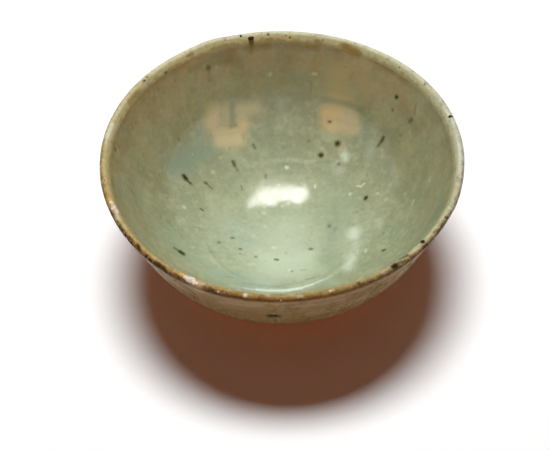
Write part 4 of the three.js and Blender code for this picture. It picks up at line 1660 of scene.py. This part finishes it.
def buildLumpTree():
    sizes = ["Lump Depth", "Lump Size", "Grain Depth", "Grain Size", "Seed"]
    inputs = [("Places", "NodeSocketGeometry"), ("Rounds", "NodeSocketInt", 4)]
    inputs += [(name, "NodeSocketFloat", 0.001) for name in sizes] + [("Finish", "NodeSocketMaterial")]
    outputs = [("Geometry", "NodeSocketGeometry")]
    tree, given, result = newGroup("stuckLumps", "GeometryNodeTree", inputs, outputs)
    values = {"Radius": 1, "Subdivisions": given["Rounds"]}
    ball = addNode(tree, "GeometryNodeMeshIcoSphere", values).outputs["Mesh"]

    def attribute(name):
        made = addNode(tree, "GeometryNodeInputNamedAttribute", {"Name": name}, data_type="FLOAT_VECTOR")
        return made.outputs["Attribute"]

    values = {"Points": given["Places"], "Instance": ball, "Rotation": attribute("turn"),
              "Scale": attribute("reach")}
    shape = addNode(tree, "GeometryNodeInstanceOnPoints", values).outputs[0]
    shape = addNode(tree, "GeometryNodeRealizeInstances", {0: shape}).outputs[0]
    joined = addNode(tree, "GeometryNodeMeshBoolean", {"Self Intersection": True}, operation="UNION",
                     solver="EXACT")
    giveValue(tree, joined.inputs["Mesh 2"], shape)
    shape = joined.outputs["Mesh"]
    where = tree.nodes.new("GeometryNodeInputPosition").outputs[0]
    normal = tree.nodes.new("GeometryNodeInputNormal").outputs[0]
    lift = 0.0
    for size, depth, seedStep in (("Lump Size", "Lump Depth", 0), ("Grain Size", "Grain Depth", 5)):
        seed = maths(tree, "ADD", given["Seed"], seedStep)
        wave = softNoise(tree, where, given[size], detail=3, seed=seed)
        lift = maths(tree, "MULTIPLY_ADD", maths(tree, "SUBTRACT", wave, 0.5), given[depth], lift)
    lift = vectors(tree, "SCALE", normal, scale=lift)
    shape = changed(tree, "GeometryNodeSetPosition", shape, {"Offset": lift})
    shape = changed(tree, "GeometryNodeSetShadeSmooth", shape, {}, domain="FACE")
    shape = changed(tree, "GeometryNodeRealizeInstances", shape, {})
    shape = changed(tree, "GeometryNodeSetMaterial", shape, {"Material": given["Finish"]})
    giveValue(tree, result["Geometry"], shape)
    return tree


lumpTree = buildLumpTree()


def makeLumps(name, lumps, surface, finish, seed):
    mesh = bpy.data.meshes.new(name)
    places, turns, reaches = [], [], []
    for lump in lumps:
        place, normal = spotAt(lump["x"], lump["y"])
        places.append(place - normal * lump["sink"] * mm)
        turns += [0, 0, math.atan2(place.x, -place.y)]
        reaches += [lump[size] * mm for size in ("along", "across", "tall")]
    mesh.from_pydata(places, [], [])
    for key, values in (("turn", turns), ("reach", reaches)):
        mesh.attributes.new(key, "FLOAT_VECTOR", "POINT").data.foreach_set("vector", values)
    piece = bpy.data.objects.new(name, mesh)
    bpy.context.collection.objects.link(piece)
    values = {key: value if key == "Rounds" else value * mm for key, value in surface.items()}
    giveInputs(piece, lumpTree, {**values, "Seed": float(seed), "Finish": finish})
    return plainMesh(piece, name)


gritFront = makeLumps("kilnGritFront", gritFrontLumps, gritSurface, gritFinish, 3)
gritSide = makeLumps("kilnGritSide", gritSideLumps, gritSurface, gritFinish, 8)
nodules = makeLumps("ironNodules", ironNodules, noduleSurface, ironFinish, 5)
print("stage: lumps and nodules made")


# Floor, world and lamp

studio = {
    "lampLevel": 0.96,
    "worldLevel": 0.03,
    "worldTint": (1.0, 0.82, 0.66),
    "roomLevel": 0.2,
    "roomEdge": (0.12, 0.34),
    "floorColour": (0.95, 0.95, 0.95),
    "floorSeen": (1.02, 1.075, 1.09),
    # The floor glows to the camera only: shadeGlow is a painted brown in its shadow, and nearBounceGlow is
    # painted bounce light under the bowl
    "shadeGlow": (0.06, 0.005, 0.0),
    "nearBounceGlow": (0.096, 0.017, 0.0),
    "nearBounceGlowReach": (57, 39),
    "lampElevation": 79,
    "lampSide": 1.4,
    "lampDistance": 3000,
    "lampWide": 1300,
    "lampDeep": 800,
    "floorRadius": 4000,
}


def addLamp():
    data = bpy.data.lights.new("softBox", "AREA")
    data.shape = "ELLIPSE"
    data.size, data.size_y = studio["lampWide"] * mm, studio["lampDeep"] * mm
    distance = studio["lampDistance"] * mm
    data.energy = studio["lampLevel"] * math.pi**2 * distance**2
    lamp = bpy.data.objects.new("softBox", data)
    bpy.context.collection.objects.link(lamp)
    turn = math.radians(studio["lampElevation"])
    side = math.radians(studio["lampSide"])
    lamp.location = (-distance * math.sin(side), distance * math.cos(turn), distance * math.sin(turn))
    lamp.rotation_euler = (turn - math.pi / 2, -side, 0)
    lamp.visible_glossy = False


# What the glaze mirrors of the lamp. The card has the outline that gives the photograph's highlight:
# its corners are where the camera's lines through these pixels go after the glaze has mirrored them.

glintCard = {
    "level": 1400,
    "strength": 18,
    "normalSpread": 1.5,
    "outline": [
        at(x=247.5, y=208.4), at(x=249.6, y=200.7), at(x=255.2, y=195.1), at(x=260.8, y=188.1),
        at(x=264.3, y=186.3), at(x=274.1, y=186.7), at(x=286.8, y=186.0), at(x=300.8, y=186.7),
        at(x=305.7, y=187.4), at(x=308.5, y=192.3), at(x=307.3, y=197.9), at(x=305.0, y=200.4),
        at(x=300.6, y=200.4), at(x=299.4, y=205.8), at(x=295.9, y=203.2), at(x=291.0, y=201.0),
        at(x=286.1, y=200.0), at(x=279.7, y=199.6), at(x=277.2, y=201.4), at(x=276.4, y=204.6),
        at(x=269.9, y=205.6), at(x=264.3, y=203.9), at(x=259.4, y=202.8), at(x=255.2, y=204.9),
        at(x=251.0, y=207.4),
    ],
}


def mirroredPlace(x, y):
    moves = (-glintCard["normalSpread"], 0, glintCard["normalSpread"])
    around = [spotAt(x + right, y + down)[1] for right in moves for down in moves]
    place, normal = spotAt(x, y)[0], sum(around, Vector()).normalized()
    line = sightLine(x, y)
    line -= 2 * line.dot(normal) * normal
    return place + line * ((glintCard["level"] * mm - place.z) / line.z)


def addGlintCard():
    mesh = bpy.data.meshes.new("glintCard")
    corners = [mirroredPlace(**pixel) for pixel in glintCard["outline"]]
    mesh.from_pydata(corners, [], [tuple(range(len(corners)))])
    finish = newFinish("glintCard")
    shader = finish.node_tree.nodes["Principled BSDF"]
    shader.inputs["Base Color"].default_value = (0, 0, 0, 1)
    shader.inputs["Emission Color"].default_value = (1, 1, 1, 1)
    shader.inputs["Emission Strength"].default_value = glintCard["strength"]
    mesh.materials.append(finish)
    card = bpy.data.objects.new("glintCard", mesh)
    bpy.context.collection.objects.link(card)
    card.visible_camera = card.visible_diffuse = card.visible_shadow = card.visible_transmission = False


def addWorld():
    world = bpy.data.worlds.new("whiteRoom")
    bpy.context.scene.world = world
    world.use_nodes = True
    tree = world.node_tree
    paths = tree.nodes.new("ShaderNodeLightPath").outputs
    seen = maths(tree, "MAXIMUM", paths["Is Camera Ray"], paths["Is Transmission Ray"])
    direction = apart(tree, tree.nodes.new("ShaderNodeTexCoord").outputs["Generated"])
    mirrored = fade(tree, direction["Z"], *studio["roomEdge"], studio["roomLevel"], 1)
    mirrored = maths(tree, "MULTIPLY", mirrored, paths["Is Glossy Ray"])
    strength = maths(tree, "ADD", mirrored, fade(tree, seen, 0, 1, studio["worldLevel"], 1))
    white = maths(tree, "MAXIMUM", seen, paths["Is Glossy Ray"])
    tint = blendColours(tree, white, studio["worldTint"], (1, 1, 1))
    giveValue(tree, tree.nodes["Background"].inputs["Color"], tint)
    giveValue(tree, tree.nodes["Background"].inputs["Strength"], strength)


def floorPaper():  # white paper, whose shadow shows warm to the camera
    finish = plainFinish("floorPaper", studio["floorColour"], 1)
    tree = finish.node_tree
    shader = tree.nodes["Principled BSDF"]
    shader.inputs["Specular IOR Level"].default_value = 0
    reach = vectors(tree, "LENGTH", objectVector(tree))
    # painted bounce light: the floor's glow is warmer and stronger near the bowl
    near = fadeAlong(tree, reach, studio["nearBounceGlowReach"])
    glow = blendColours(tree, near, studio["shadeGlow"], studio["nearBounceGlow"])
    giveValue(tree, shader.inputs["Emission Color"], glow)
    seen = tree.nodes.new("ShaderNodeLightPath").outputs["Is Camera Ray"]
    colour = blendColours(tree, seen, studio["floorColour"], studio["floorSeen"])
    giveValue(tree, shader.inputs["Base Color"], colour)
    giveValue(tree, shader.inputs["Emission Strength"], seen)
    return finish


def addFloor():
    mesh = bpy.data.meshes.new("floor")
    work = bmesh.new()
    bmesh.ops.create_circle(work, cap_ends=True, segments=96, radius=studio["floorRadius"] * mm)
    work.to_mesh(mesh)
    work.free()
    floor = bpy.data.objects.new("floor", mesh)
    bpy.context.collection.objects.link(floor)
    mesh.materials.append(floorPaper())


addLamp()
addGlintCard()
addWorld()
addFloor()
bpy.context.scene.view_settings.view_transform = "Standard"
print("stage: studio made")


for piece, node, slotName in (
    (clayBody, "clay_body", "bare_clay"),
    (footRing, "foot_ring", "bare_clay"),
    (innerGlaze, "inner_glaze", "celadon_glaze"),
    (outerGlaze, "outer_glaze", "olive_glaze"),
    (lipGlaze, "lip_glaze", "iron_lip_glaze"),
    (footWellGlaze, "foot_well_glaze", "olive_glaze"),
    (gritFront, "kiln_grit_front", "kiln_grit"),
    (gritSide, "kiln_grit_side", "kiln_grit"),
):
    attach(piece, "root")
    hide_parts(node)
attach(nodules, "root")
